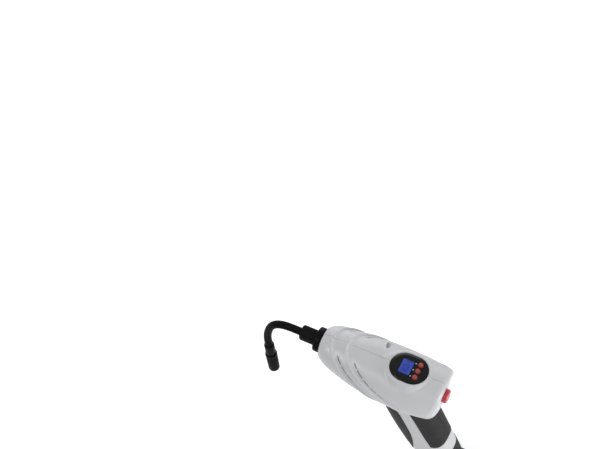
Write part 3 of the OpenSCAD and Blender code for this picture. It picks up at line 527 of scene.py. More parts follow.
@dataclass(frozen=True)
class KeyCap(Finish):
    """Silicone key: a skirt painted dark as the shade in the gap round the key, under a dome in the key's own
    colour.
    """

    # the skirt's colour is painted shade, for the gap between key and bezel
    skirt: Colour
    dome: Pair = (0.2157, 0.21608)  # heights between which the skirt's painted shade turns into the dome's own colour

    def brush(self, paint: Paint) -> None:
        """Paint shade on the skirt that gives way to the key's own colour towards the top.

        Args:
            paint: The material.
        """
        # 0 in the painted shade on the skirt, 1 on the dome; a fifth of it is random tone
        out_of_painted_shade = paint.axis("Z").step(*self.dome) * 0.8 + paint.noise(260.0, 3.0).level() * 0.2
        paint.set(
            Base_Color=paint.tint(out_of_painted_shade, self.skirt, self.colour),
            Roughness=out_of_painted_shade.step(0.0, 1.0, 0.5, 0.34),
            Normal=paint.bump(paint.noise(1400.0), 0.01),
            Specular_IOR_Level=0.3,
        )


@dataclass(frozen=True)
class Rubber(Finish):
    """Soft overmoulded rubber with a pebbled grain and a dusty bloom."""

    roughness: float = 0.62
    pebble: float = 0.05
    pebble_scale: float = 900.0
    shine: float = 0.25

    def brush(self, paint: Paint) -> None:
        """Dust a pebbled skin.

        Args:
            paint: The material.
        """
        grain = {"Vector": paint.spot, "Scale": self.pebble_scale}
        pebbles = paint.node("ShaderNodeTexVoronoi", grain)["Distance"]
        dust = paint.noise(45.0, 4.0, 0.6)
        paint.set(
            Base_Color=paint.shades(dust.step(0.35, 0.75), self.colour, 1.0, 1.5),
            Roughness=dust.level(self.roughness - 0.06, self.roughness + 0.08),
            Normal=paint.bump(pebbles, self.pebble),
            Specular_IOR_Level=self.shine,
        )


@dataclass(frozen=True)
class Gloss(Finish):
    """Polished plastic with a trace of wiping marks."""

    roughness: float = 0.16

    def brush(self, paint: Paint) -> None:
        """Lay wiping marks on a polished ground.

        Args:
            paint: The material.
        """
        smear = paint.noise(60.0, 5.0, 0.65, paint.stretched((1.0, 4.0, 1.0)))
        paint.set(
            Base_Color=paint.shades(paint.noise(35.0).level(), self.colour, 0.9, 1.15),
            Roughness=smear.step(0.35, 0.75, self.roughness * 0.75, self.roughness * 1.5),
            Normal=paint.bump(paint.noise(220.0, 1.0), 0.006),
            Specular_IOR_Level=0.16,
        )


@dataclass(frozen=True)
class Metal(Finish):
    """Bare metal with tooling lines and a little tarnish."""

    roughness: float = 0.32
    stretch: Point = (1.0, 1.0, 14.0)

    def brush(self, paint: Paint) -> None:
        """Draw tooling lines and tarnish.

        Args:
            paint: The material.
        """
        lines = paint.noise(420.0, at=paint.stretched(self.stretch))
        tarnish = paint.noise(70.0, 4.0, 0.6)
        paint.set(
            Base_Color=paint.shades(tarnish.step(0.35, 0.7), self.colour, 0.8, 1.0),
            Metallic=1.0,
            Roughness=lines.level(self.roughness * 0.75, self.roughness * 1.3),
            Normal=paint.bump(lines, 0.012),
        )


@dataclass(frozen=True)
class Board(Finish):
    """Lacquered circuit board with copper tracks under the lacquer."""

    track: Colour

    def brush(self, paint: Paint) -> None:
        """Print the tracks.

        Args:
            paint: The material.
        """
        tracks = paint.bricks(260.0)
        paint.set(
            Base_Color=paint.tint(tracks, self.colour, self.track),
            Roughness=paint.noise(90.0).level(0.28, 0.42),
            Normal=paint.bump(tracks, 0.02),
            Coat_Weight=0.3,
        )


@dataclass(frozen=True)
class LitScreen(Finish):
    """Back-lit liquid crystal: a glowing ground with a faint cell structure between dark borders."""

    glow: float
    half_width: Pair = (0.0084, 0.0092)  # where the lit field starts to fade and where it ends
    border: Colour = (0.003, 0.003, 0.005)

    def brush(self, paint: Paint) -> None:
        """Light the field between the borders.

        Args:
            paint: The material.
        """
        uneven = paint.noise(110.0)
        grid = {"Mortar_Size": 0.04, "Brick_Width": 0.5, "Row_Height": 0.5}
        cells = paint.bricks(900.0, **grid)
        across, (full, none) = paint.axis("Y"), self.half_width
        unlit = 1 - across.step(-none, -full) * across.step(none, full)
        glowing = paint.shades(uneven.level() * 0.8 + cells * 0.2, self.colour, 0.85, 1.15)
        colour = paint.tint(unlit, glowing, self.border)
        paint.set(
            Base_Color=colour,
            Emission_Color=colour,
            Emission_Strength=self.glow,
            Roughness=uneven.level(0.2, 0.3),
            Specular_IOR_Level=0.2,
        )


class Shop:
    """The finishes of this inflator, each made into a material once."""

    SHELL = Moulded(
        "silver_shell", (0.465, 0.468, 0.48), 0.4, grain=0.018, grain_scale=1300.0, variation=0.025, coat=0.05
    )
    GRIP = Rubber("grip_rubber", (0.018, 0.018, 0.0185), 0.55, shine=0.1)
    HOSE = Rubber("hose_rubber", (0.007, 0.007, 0.0075), 0.34, pebble=0.02, pebble_scale=700.0, shine=0.012)
    BLACK = Moulded(
        "black_moulding", (0.007, 0.007, 0.008), 0.34, grain_scale=1100.0, variation=0.12, shine=0.025
    )
    PACK = Moulded(
        "pack_moulding", (0.02, 0.02, 0.022), 0.5, grain=0.04, grain_scale=900.0, variation=0.1, shine=0.25
    )
    BEZEL = Gloss("bezel_black", (0.003, 0.003, 0.0035))
    SCREEN = LitScreen("lit_screen", (0.03, 0.06, 0.34), glow=0.22)
    DIGITS = LitScreen("screen_digits", (0.012, 0.02, 0.16), glow=0.1)
    # skirt colour: painted shade for the gap round each key
    KEY = KeyCap("key_red", (0.34, 0.052, 0.042), skirt=(0.08, 0.006, 0.006))
    BUTTON = Moulded(
        "button_red", (0.42, 0.016, 0.03), 0.36, grain=0.015, grain_scale=900.0, variation=0.08, coat=0.25
    )
    LIGHT = Moulded(
        "light_guide", (0.36, 0.4, 0.38), 0.3, grain=0.01, grain_scale=900.0, variation=0.05, coat=0.3
    )
    NYLON = Moulded("white_nylon", (0.72, 0.72, 0.68), 0.4)
    SEAL = Rubber("seal_rubber", (0.2, 0.05, 0.035), 0.55, pebble=0.02, pebble_scale=1200.0)
    STEEL = Metal("steel", (0.55, 0.56, 0.58), 0.28)
    CAST = Metal("cast_aluminium", (0.66, 0.67, 0.68), 0.42, stretch=(1.0, 1.0, 1.0))
    BRASS = Metal("brass", (0.75, 0.55, 0.25), 0.26)
    COPPER = Metal("copper_windings", (0.6, 0.3, 0.18), 0.36, stretch=(1.0, 1.0, 6.0))
    BOARD = Board("circuit_board", (0.02, 0.14, 0.05), track=(0.05, 0.3, 0.12))
    CELL = Moulded(
        "cell_wrap", (0.06, 0.2, 0.5), 0.3, grain=0.008, grain_scale=600.0, variation=0.06, coat=0.4
    )

    def __init__(self) -> None:
        """Start with no material made."""
        self.made: dict[str, bpy.types.Material] = {}

    def dress(self, obj: Piece, finish: Finish) -> None:
        """Give an object one finish all over.

        Args:
            obj: The object.
            finish: The finish.
        """
        if finish.name not in self.made:
            paint = Paint(finish.name)
            finish.brush(paint)
            self.made[finish.name] = paint.material
        obj.data.materials.clear()
        obj.data.materials.append(self.made[finish.name])


@dataclass
class SubAssembly:
    """A group of pieces that is built and dressed together."""

    shop: Shop

    def place(
        self,
        piece: Piece,
        finish: Finish,
        body: str,
        slot: str,
        nodes: Iterable[str] = (),
        angle: float = 35.0,
    ) -> Piece:
        """Dress a new piece and tie it to its CAD body.

        Args:
            piece: The new piece, with its place in its mesh.
            finish: Its finish.
            body: The CAD body that it rides on.
            slot: The record's material slot; not used.
            nodes: The CAD nodes that it stands for.
            angle: Edges sharper than this stay sharp, in degrees.

        Returns:
            The piece.
        """
        if piece.type == "MESH":
            Bench.take(piece)
            bpy.ops.object.shade_smooth_by_angle(angle=math.radians(angle))
            Bench.clear()
        self.shop.dress(piece, finish)
        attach(piece, body)
        if nodes:
            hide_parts(*nodes)
        LOG.info("%s rides on %s", piece.name, body)
        return piece


# ---------------------------------------------------------------- forms


def taper(x: float, peak: float, rate: float) -> float:
    """Return the share of a size that is left at x, which is whole at its peak."""
    return 1.0 - rate * ((x - peak) / 100.0) ** 2


def edge_drop(distance: float, length: float, depth: float) -> float:
    """Return how far a rounded edge has dropped at a distance from the end face."""
    share = max(0.0, length - distance) / length
    return depth * (1.0 - math.sqrt(max(0.0, 1.0 - share**2)))


def squircle(angle: float, power: float) -> Pair:
    """Return a point of a unit squircle, whose power 2 is a circle."""
    c, s = math.cos(angle), math.sin(angle)
    return math.copysign(abs(c) ** (2.0 / power), c), math.copysign(abs(s) ** (2.0 / power), s)


def squircle_angle(share: float, power: float) -> float:
    """Return the angle, up to pi, at which a unit squircle's first coordinate is a share."""
    share = min(1.0, max(-1.0, share))
    return math.acos(math.copysign(abs(share) ** (power / 2.0), share))


def circle(x: float, y: float, r: float, z: float, count: int) -> Ring:
    """Return a level circle as a ring of points."""
    turn = [2 * math.pi * i / count for i in range(count)]
    return [(x + r * math.cos(a), y + r * math.sin(a), z) for a in turn]


def oblong(low: Pair, high: Pair, grow: float, corner: float, z: float) -> Ring:
    """Round the corners of a level rectangle.

    Args:
        low: Its lowest corner.
        high: Its highest corner.
        grow: How far its sides are moved outwards.
        corner: Radius of its corners.
        z: Its height.

    Returns:
        The rectangle as a ring of points.
    """
    (x0, y0), (x1, y1) = ((v - grow + corner for v in low), (v + grow - corner for v in high))
    ring: Ring = []
    for quarter, (x, y) in enumerate(((x1, y1), (x0, y1), (x0, y0), (x1, y0))):
        turn = [math.radians(90.0 * quarter + 15.0 * i) for i in range(7)]
        ring += [(x + corner * math.cos(a), y + corner * math.sin(a), z) for a in turn]
    return ring


@dataclass(frozen=True)
class Cowl:
    """A moulded step round the barrel, on a slanted plane."""

    top_x: float
    lean: float
    crest: float  # where the lip is highest, ahead of the plane
    step: float = 0.5
    lip: float = 0.6  # above the step
    valley: float = -0.9
    rise: float = 1.5  # length over which the lip rises
    fall: float = 1.6  # length over which it falls into the valley
    ease: Pair = (-0.2, 4.6)  # where the valley starts and stops to run out

    @property
    def slope(self) -> float:
        """Return how far the plane runs back for each millimetre down."""
        return 1.0 / math.tan(math.radians(self.lean))

    def height(self, x: float, z: float) -> float:
        """Read how far the step lifts the surface: level ahead, a rounded lip, then a valley.

        Args:
            x: Place along the barrel.
            z: Height.

        Returns:
            The lift.
        """
        behind = (x - self.top_x - (TOP_Z - z) * self.slope) * math.sin(math.radians(self.lean))
        peak, start, stop = self.step + self.lip, -self.crest, -self.crest + self.fall
        if behind <= start:
            return mix(self.step, peak, smooth(start - self.rise, start, behind))
        if behind <= self.ease[0]:
            return mix(peak, self.valley, smooth(start, stop, behind))
        return mix(self.valley, 0.0, smooth(*self.ease, behind))

    def lines(self) -> list[Pair]:
        """Follow the step from where it starts to rise to where it has run out.

        Returns:
            Lines at their distances from the plane, each as its place on top and its slope.
        """
        start, (first, last) = -self.crest, self.ease
        offsets = [start - ahead for ahead in (2.2, self.rise, 1.1, 0.75, 0.4)]
        offsets += spread(start, start + self.fall, 6) + [start + 2.2, first, 0.4, 1.2, 2.2, 3.4, last]
        return [(self.top_x + d / math.sin(math.radians(self.lean)), self.slope) for d in offsets]


@dataclass(frozen=True)
class PanelForm:
    """The display's outline, two half circles with straights between them, and the pad round it."""

    x: float = -60.0
    straight: float = 4.5
    radius: float = 18.5
    rim: float = 1.6  # level ring round the outline
    pad_top: float = 213.8
    pad_fall: Pair = (0.45, 0.19)  # straight and growing fall beyond the rim
    brow: Point = (8.5, 11.4, 1.7)  # start, end and depth of the pad's front edge

    def ring(self, grow: float, z: float) -> Ring:
        """Draw the outline.

        Args:
            grow: How far it is moved outwards.
            z: Its height.

        Returns:
            The outline as a ring of points.
        """
        r, ring = self.radius + grow, []
        for side in (1, -1):
            for a in (math.pi * (i / 40 - 0.5) for i in range(41)):
                ring.append((self.x + side * (self.straight + r * math.cos(a)), side * r * math.sin(a), z))
        return ring

    def pad_height(self, x: float, y: float) -> float:
        """Read the soft raised pad.

        Args:
            x: Place along the barrel.
            y: Place across it.

        Returns:
            The pad's height there.
        """
        beyond = max(0.0, abs(x - self.x) - self.straight)
        d = max(0.0, math.hypot(beyond, y) - self.radius - self.rim)
        ahead = smooth(-10.0, -22.0, x - self.x) * max(0.0, 1.0 - (y / 20.0) ** 2)
        start, end, depth = self.brow
        gentle = 0.01 * d + depth * smooth(start, end, d) + 0.3 * max(0.0, d - 11.0)
        return self.pad_top - mix(self.pad_fall[0] * d + self.pad_fall[1] * d * d, gentle, ahead)


@dataclass(frozen=True)
class BarrelForm:
    """The barrel's outer form with its cowls, its display pad and its parting line."""

    panel: PanelForm
    rear: float = -13.0
    front: float = -168.0
    nose_z: float = 194.0
    button_z: float = 185.0
    width: float = 71.0
    height: float = 62.0
    square: float = 2.3
    narrowing: Pair = (56.0, 0.42)  # distance of the widest section from the rear, and loss away from it
    thinning: Pair = (34.0, 0.3)  # the same for the height
    rear_edge: Pair = (6.5, 4.6)  # length and depth of its rounding
    nose_edge: Point = (18.0, 7.0, 6.0)  # length, depth at the sides and depth on top
    bow: Pair = (3.0, 5.0)  # how far the rear face leans in below, in the middle and more at the sides
    bow_heights: Pair = (205.0, 172.0)  # where it starts to lean and where it leans in full
    bow_length: float = 35.0
    reach: float = 35.0  # half width from which the bow and the parting line are set out
    cowls: tuple[Cowl, Cowl] = (Cowl(-150.0, 35.0, 3.2), Cowl(-130.0, 29.0, 3.3))
    groove: Pair = (0.5, 0.6)  # half width and depth of the parting line

    def section(self, x: float, grow: float = 0.0) -> Point:
        """Measure the section.

        Args:
            x: Place along the barrel.
            grow: How far the surface is moved outwards.

        Returns:
            The half width, the middle's height and the half height.
        """
        length, side, over = self.nose_edge
        rear, nose = edge_drop(self.rear - x, *self.rear_edge), x - self.front
        half_w = self.width / 2 * taper(x, self.rear - self.narrowing[0], self.narrowing[1])
        half_w = half_w - rear - edge_drop(nose, length, side)
        high = TOP_Z - rear - edge_drop(nose, length, over)
        low = TOP_Z - self.height * taper(x, self.rear - self.thinning[0], self.thinning[1]) + rear
        return half_w + grow, (high + low) / 2, (high - low) / 2 + grow

    def plain(self, x: float, angle: float, grow: float = 0.0) -> Point:
        """Return a point of the form without its cowls, moved outwards by grow."""
        (half_w, middle, half_h), (across, up) = self.section(x, grow), squircle(angle, self.square)
        return x, across * half_w, middle + up * half_h

    def bowed(self, point: Point) -> Point:
        """Move a point forwards where the rear face bows away towards its lower corners.

        Args:
            point: The point.

        Returns:
            The moved point.
        """
        x, y, z = point
        low, (middle, corners) = smooth(*self.bow_heights, z), self.bow
        back = smooth(self.rear - self.bow_length, self.rear, x)
        return x - back * low * (middle + corners * (y / self.reach) ** 2), y, z

    def line_spot(self, station: Pair, angle: float) -> Point:
        """Find the dressed surface's point on one slanted line.

        Args:
            station: The line's place on the top line and its slope.
            angle: Angle round the barrel.

        Returns:
            The point, with the cowls, the display's pad and the parting groove.
        """
        start, slope = station
        x = start
        for _ in range(14):
            wanted = start + slope * max(0.0, TOP_Z - self.plain(x, angle)[2])
            x = min(self.rear, max(self.front, mix(x, wanted, 0.6)))
        z = self.plain(x, angle)[2]
        grow = sum(cowl.height(x, z) for cowl in self.cowls)
        x, y, z = self.plain(x, angle, grow)
        up = squircle(angle, self.square)[1]
        if up > 0.0:
            z = smooth_max(z, self.panel.pad_height(x, y), 0.8)
        cut = self.groove[1] * max(0.0, 1.0 - abs(y) / self.groove[0])
        return self.bowed((x, y, z - math.copysign(cut, up)))

    def angles(self, steps: int) -> list[float]:
        """Space a ring's points, denser at the parting line on top and below.

        Args:
            steps: Even steps from beside the parting line to the side.

        Returns:
            The angles of the whole ring.
        """
        near = [squircle_angle(y / self.reach, self.square) for y in (0.5, 0.9, 1.6, 2.8, 4.4)]
        quarter = [math.pi / 2] + near
        quarter += [mix(near[-1], 0.0, (i + 1) / steps) for i in range(steps)]
        right = quarter + [-a for a in reversed(quarter[:-1])]
        return right + [math.pi - a for a in reversed(right)][1:-1]

    def stations(self) -> list[Pair]:
        """Lay out the slanted lines from the nose face to the rear face.

        Returns:
            Each line's place on top and its slope.
        """
        first, second = (cowl.lines() for cowl in self.cowls)
        (x, slope), (end_x, end_slope) = first[0], second[-1]
        ahead = [(mix(self.front, x, t), mix(0.0, slope, t * t)) for t in spread(0, 1, 20, 1.6)[:-1]]
        shares = spread(1, 0, 92, 1.35)[-2::-1]
        return ahead + first + second + [(mix(end_x, self.rear, t), mix(end_slope, 0.0, t)) for t in shares]


@dataclass(frozen=True)
class HandleForm:
    """The raked handle's outer form."""

    ref_x: float = -52.0
    ref_z: float = 131.0
    rake: float = 22.0
    bend: float = 0.0008
    foot: float = 24.0
    top: float = 170.0
    square: float = 2.8
    half_length: Pair = (32.0, 8.0)  # at ref_z, and what it loses over the span
    half_width: Pair = (21.0, 1.37)
    span: float = 107.0
    root: Point = (140.0, 30.0, 9.0)  # start, rise and spread of the root under the barrel
    flare: Point = (14.0, 5.0, 2.0)  # height and spread of the foot, lengthways and across

    def section(self, z: float, grow: float = 0.0) -> Point:
        """Measure the section.

        Args:
            z: Its height.
            grow: How far the surface is moved outwards.

        Returns:
            The middle's place, the half length and the half width.
        """
        down = self.ref_z - z
        start, rise, out = self.root
        root = out * (max(0.0, z - start) / rise) ** 2
        flare = (max(0.0, self.foot + self.flare[0] - z) / self.flare[0]) ** 2
        middle = self.ref_x + math.tan(math.radians(self.rake)) * down + self.bend * down * down - root
        (length, shorter), (width, thinner) = self.half_length, self.half_width
        half = length - shorter * (down / self.span) ** 2 + root + self.flare[1] * flare + grow
        return middle, half, width - thinner * (down / self.span) ** 2 + self.flare[2] * flare + grow

    def spot(self, z: float, angle: float, grow: float = 0.0) -> Point:
        """Return a point of the surface, moved outwards by grow, where angle 0 is the handle's back."""
        (middle, half, wide), (ahead, across) = self.section(z, grow), squircle(angle, self.square)
        return middle + ahead * half, across * wide, z

    def edge_angle(self, edge: Sequence[Pair], z: float) -> float:
        """Return the angle from the back at which an edge, given as heights and places, meets the surface."""
        middle, half, _ = self.section(z)
        return squircle_angle((along(edge, z) - middle) / half, self.square)

    def ring(self, z: float, grow: float, count: int, groove: float = 0.0) -> Ring:
        """Draw the section at a height.

        Args:
            z: The height.
            grow: How far the surface is moved outwards.
            count: Points round the section, before those at the groove.
            groove: Depth of the groove in the middle plane.

        Returns:
            The section as a ring of points.
        """
        near = [0.0, math.asin(0.012**1.4), math.asin(0.05**1.4)] if groove else [0.0]
        steps = 2 * (count // 4)
        half = near + [mix(near[-1], math.pi - near[-1], (i + 1) / steps) for i in range(steps)]
        half += [math.pi - a for a in reversed(near[:-1])]
        ring: Ring = []
        for a in half + [2 * math.pi - a for a in reversed(half[1:-1])]:
            x, y, level = self.spot(z, a, grow)
            cut = groove if abs(y) < 0.05 else 0.0
            ring.append((x - math.copysign(cut, math.cos(a)), y, level))
        return ring


PANEL = PanelForm()
BARREL = BarrelForm(PANEL)
HANDLE = HandleForm()


# ---------------------------------------------------------------- hose and chuck


@dataclass
class HoseLine(SubAssembly):
    """The collar, the strain relief, the hose and the chuck on its end."""

    hose_d: float = 9.6
    axis: Point = (0.121869, 0.0, -0.992546)
    route: Pairs = (
        (-196.5, 194.0), (-201.0, 194.0), (-206.0, 193.9), (-211.5, 193.5), (-217.0, 192.7), (-222.0, 191.1),
        (-226.5, 188.6), (-230.5, 185.1), (-233.7, 180.8), (-236.3, 175.6), (-238.3, 169.6), (-239.7, 163.3),
        (-240.6, 157.0), (-241.0, 150.5), (-240.9, 144.0), (-240.3, 137.3), (-239.5, 130.7),
    )
    relief_square: float = 3.0
    relief_share: float = 0.94  # of the profile's radius, because its sides are flat
    dimple_x: float = -181.0
    dimple_y: float = 7.5
    dimple: Pairs = ((0.0, 1.1), (1.0, 1.25), (3.0, 1.3))
    relief_profile: Pairs = (
        (0.0, 7.1), (0.15, 7.55), (0.6, 8.15), (1.3, 8.7), (2.1, 8.95), (3.0, 9.0), (19.0, 9.0), (20.0, 9.0),
    )
    ferrule_profile: Pairs = (
        (0.0, 5.2), (0.2, 5.7), (0.7, 6.05), (1.4, 6.1), (17.8, 6.1), (18.5, 5.95), (18.9, 5.6), (18.95, 3.4),
        (23.0, 3.4),
    )
    sleeve_profile: Pairs = (
        (19.3, 6.3), (19.5, 6.8), (20.0, 7.15), (20.8, 7.25), (22.6, 7.25), (22.8, 7.15), (23.4, 7.15),
        (23.6, 7.2), (51.0, 6.8), (51.9, 6.75), (52.6, 6.5), (53.9, 5.5), (54.0, 5.2),
    )
    sleeve_bore: Pairs = (
        (18.0, 3.45), (22.7, 3.45), (22.71, 4.85), (52.3, 4.85), (52.31, 4.45), (55.0, 4.45),
    )
    collar_profile: Pairs = (
        (-12.0, 10.8), (0.0, 10.8), (0.001, 14.4), (0.4, 14.8), (1.0, 15.0), (6.7, 15.0), (7.5, 14.8),
        (8.1, 14.3), (8.4, 13.6), (8.5, 12.8),
    )

    def build(self) -> None:
        """Make the hose first, then what sits on it."""
        hose = self.hose()
        relief = self.relief()
        ferrule = self.ferrule()
        sleeve = self.chuck_sleeve()
        self.collar()
        carried = [frame["nodes"][n] for n in ("chuck_body", "valve_seal", "valve_pin")]
        length = sum(math.dist(a, b) for a, b in zip(self.route, self.route[1:])) * MM

    def hose(self) -> Piece:
        """Bend the hose as a curve along its route.

        Returns:
            The hose.
        """
        Bench.clear()
        bpy.ops.curve.primitive_bezier_curve_add()
        hose = Bench.named("rubber_hose")
        knots = hose.data.splines[0].bezier_points
        knots.add(len(self.route) - 2)
        for knot, (x, z) in zip(knots, self.route):
            knot.co = (x * MM, 0.0, z * MM)
            knot.handle_left_type = knot.handle_right_type = "AUTO"
        hose.data.bevel_depth = self.hose_d / 2 * MM
        hose.data.bevel_resolution = 8
        hose.data.resolution_u = 6
        hose.data.use_fill_caps = True
        return self.place(hose, Shop.HOSE, "housing", "hose_rubber", ["hose"])

    def relief(self) -> Piece:
        """Make the block-like strain relief with its stepped front end and side dimples.

        Returns:
            The strain relief.
        """
        sides = [squircle(2 * math.pi * i / 72, self.relief_square) for i in range(72)]
        (start, level), share = self.route[0], self.relief_share
        rings = [
            [(start + d, across * r * share, level + up * r * share) for across, up in sides]
            for d, r in self.relief_profile
        ]
        relief = Bench.stacked("strain_relief", rings)
        for side in Side:
            place = facing((self.dimple_x, side.value * self.dimple_y, level), (0, side.value, 0))
            Bench.combine(relief, Bench.turned("dimple", self.dimple, place, 32))
        return self.place(relief, Shop.HOSE, "housing", "hose_rubber", ["hose_sleeve"])

    def hose_end(self) -> Matrix:
        """Return the place of the hose's far end, turned along the chuck."""
        x, z = self.route[-1]
        return facing((x, 0.0, z), self.axis)

    def ferrule(self) -> Piece:
        """Return the ferrule with its rolled ends and the neck that carries the chuck."""
        ferrule = Bench.turned("hose_crimp", self.ferrule_profile, self.hose_end())
        return self.place(ferrule, Shop.BLACK, "housing", "black_plastic", ["hose_ferrule"])

    def chuck_sleeve(self) -> Piece:
        """Make the turning sleeve: a rolled rim, a shallow band, a tapered grip and a chamfered mouth.

        Returns:
            The sleeve.
        """
        sleeve = Bench.turned("chuck_grip_sleeve", self.sleeve_profile, self.hose_end(), 120)
        Bench.combine(sleeve, Bench.turned("bore", self.sleeve_bore, self.hose_end()))
        return self.place(sleeve, Shop.BLACK, "chuck_grip", "black_plastic", ["chuck_sleeve"])

    def collar(self) -> None:
        """Make the collar in front of the shell: a thick flange with rolled edges."""
        place = facing((BARREL.front, 0.0, BARREL.nose_z), (-1.0, 0.0, 0.0))
        collar = Bench.turned("nose_ring", self.collar_profile, place)
        Bench.combine(collar, Bench.turned("bore", [(-13.0, 3.05), (12.0, 3.05)], place, 32))
        self.place(collar, Shop.BLACK, "housing", "black_plastic", ["nose_collar"])


# ---------------------------------------------------------------- case


@dataclass
class Case(SubAssembly):
    """The two shells and the rubber that covers the handle."""

    wall: float = 2.4
    seam: float = 0.03  # half the gap between the shells
    groove: float = 0.3  # depth of the parting line on the handle
    boss_r: float = 4.8
    recess: Pair = (11.0, 3.2)  # where a screw's recess starts beside the middle plane, and its radius
    button_x: float = -21.0
    button_hole: Pairs = ((0.0, 8.7), (7.4, 8.7), (8.0, 9.0), (8.6, 9.7), (14.0, 15.0))
    display_seat: Pairs = (
        (-2.0, 200.0), (-2.0, 210.0), (0.2, 210.001), (0.2, 213.1), (0.35, 213.4), (0.9, 213.7), (6.0, 215.6),
    )
    vent_starts: Pair = (9.0, 7.0)  # of each cowl's first slot, down its slope
    vent_counts: tuple[int, int] = (3, 5)
    vent_pitch: float = 11.6
    vent_low: Point = (-0.75, -13.0, 0.15)  # corners of a slot's cutter, before it leans
    vent_high: Point = (8.85, 13.0, 1.65)
    vent_y: float = 31.0
    screws: Pairs = (
        (-94, 208), (-154, 176.5), (-26, 201), (-28, 164), (-98, 162), (-59, 100), (-20, 110),
    )
    front_edge: Pairs = (
        (43, -52.0), (49, -44.0), (58, -39.0), (70, -38.5), (85, -40.0), (98, -43.0), (115, -50.0),
        (133, -58.0), (140, -62.0), (147, -66.0), (152, -70.0),
    )
    side_edge: Pairs = ((83.5, -17.0), (100, -25.5), (116, -33.0), (131, -40.0), (150, -50.0))
    lower_edge: Pairs = ((42, 16.0), (68.2, -3.0))
    front_top: float = 151.5
    side_low: Pair = (83.6, 89.0)  # lower end beside the silver strip and at the back
    side_top: float = 150.0
    rubber_lift: float = 0.6
    rubber_wall: float = 1.5
    rubber_round: float = 0.45

    def build(self) -> None:
        """Make the shells, then the rubber."""
        self.shells()
        self.front_rubber()
        for side in Side:
            self.side_rubber(side)
        self.lower_rubber()

    def outer(self) -> Piece:
        """Make the closed outer form of barrel and handle.

        Returns:
            The solid.
        """
        angles = BARREL.angles(44)
        barrel = Bench.stacked("outer", [[BARREL.line_spot(s, a) for a in angles] for s in BARREL.stations()])
        levels = {HANDLE.foot: -0.5, 24.4: -0.15, 25.2: 0.0, 26.4: 0.0}
        levels.update((z, 0.0) for z in spread(28.0, HANDLE.top, 64))
        rings = [HANDLE.ring(z, grow, 168, self.groove) for z, grow in levels.items()]
        return Bench.combine(barrel, Bench.stacked("handle", rings), act=Act.ADD)

    def room(self) -> Piece:
        """Make the hollow inside the case, with the display's deck and the screw bosses left standing.

        Returns:
            The solid that is cut out.
        """
        turn = [2 * math.pi * i / 96 for i in range(96)]
        places = [-165.6, -164.0, -161.0, -156.0, -150.0] + spread(-144.0, -27.0, 14)
        places += [-22.0, -18.5, -16.5, -15.4]
        rings = [[BARREL.bowed(BARREL.plain(x, a, -self.wall)) for a in turn] for x in places]
        room = Bench.stacked("room", rings)
        levels = [22.0, 25.5] + spread(28.0, HANDLE.top, 28)
        rings = [[(x, y, z) for x, y, _ in HANDLE.ring(max(HANDLE.foot, z), -self.wall, 96)] for z in levels]
        Bench.combine(room, Bench.stacked("inner", rings), act=Act.ADD)
        Bench.combine(room, Bench.stacked("deck", [PANEL.ring(2.0, 207.5), PANEL.ring(2.0, 230.0)]))
        for x, z in self.screws:
            profile = [(-THROUGH, self.boss_r), (THROUGH, self.boss_r)]
            Bench.combine(room, Bench.turned("boss", profile, facing((x, 0.0, z), (0.0, 1.0, 0.0)), 40))
        return room

    def vents(self) -> list[Piece]:
        """Make the cutters for the slots behind both cowls.

        Returns:
            The cutters.
        """
        cutters = []
        for cowl, start, count in zip(BARREL.cowls, self.vent_starts, self.vent_counts):
            turn = Matrix.Rotation(math.radians(cowl.lean), 4, "Y")
            place = Matrix.Translation((cowl.top_x * MM, 0.0, TOP_Z * MM)) @ turn
            for i in range(count):
                for side in Side:
                    move = (start + self.vent_pitch * i, side.value * self.vent_y, 0.0)
                    low, high = (tuple(map(sum, zip(end, move))) for end in (self.vent_low, self.vent_high))
                    cutters.append(Bench.block("slot", low, high))
                    cutters[-1].data.transform(place)
        return cutters

    def openings(self) -> list[Piece]:
        """Make the cutters for the collar, the button, the display, the screws and the vents.

        Returns:
            The cutters.
        """
        collar = facing((BARREL.front - 5.0, 0.0, BARREL.nose_z), (1, 0, 0))
        button = facing((self.button_x, 0.0, BARREL.button_z), (1, 0, 0))
        cutters = [
            Bench.turned("collar_hole", [(0.0, 11.0), (10.0, 11.0)], collar),
            Bench.turned("button_hole", self.button_hole, button),
            Bench.stacked("display_seat", [PANEL.ring(grow, z) for grow, z in self.display_seat]),
        ]
        start, r = self.recess
        for x, z in self.screws:
            place = facing((x, 0.0, z), (0.0, 1.0, 0.0))
            cutters.append(Bench.turned("recess", [(start, r), (THROUGH, r)], place, 48))
        return cutters + self.vents()

    def shells(self) -> None:
        """Hollow the outer form, open it and split it into its two shells."""
        shell = Bench.combine(self.outer(), self.room(), Bench.joined(self.openings()))
        for side in Side:
            node = side.name.lower() + "_shell"
            Bench.take(shell)
            bpy.ops.object.duplicate()
            half = Bench.named(node + "_skin")
            low, high = sorted((side.value * self.seam, side.value * THROUGH))
            Bench.combine(half, Bench.block("half", (-300.0, low, -10.0), (60.0, high, 260.0)), act=Act.SHARE)
            self.place(half, Shop.SHELL, "housing", "shell_plastic", [node], 32.0)
        bpy.data.objects.remove(shell)

    def patch(self, name: str, node: str, rows: int, place: Callable[[float, float], Pair]) -> None:
        """Lay a rubber patch on the handle, with its wall and its rolled edge.

        Args:
            name: Name of the piece.
            node: The CAD node that it stands for.
            rows: Points up.
            place: Gives the height and the angle for shares across and up.
        """
        columns = 61

        def spot(i: int, j: int) -> Point:
            """Return the place of a column and a row."""
            return HANDLE.spot(*place(i / (columns - 1), j / (rows - 1)), self.rubber_lift)

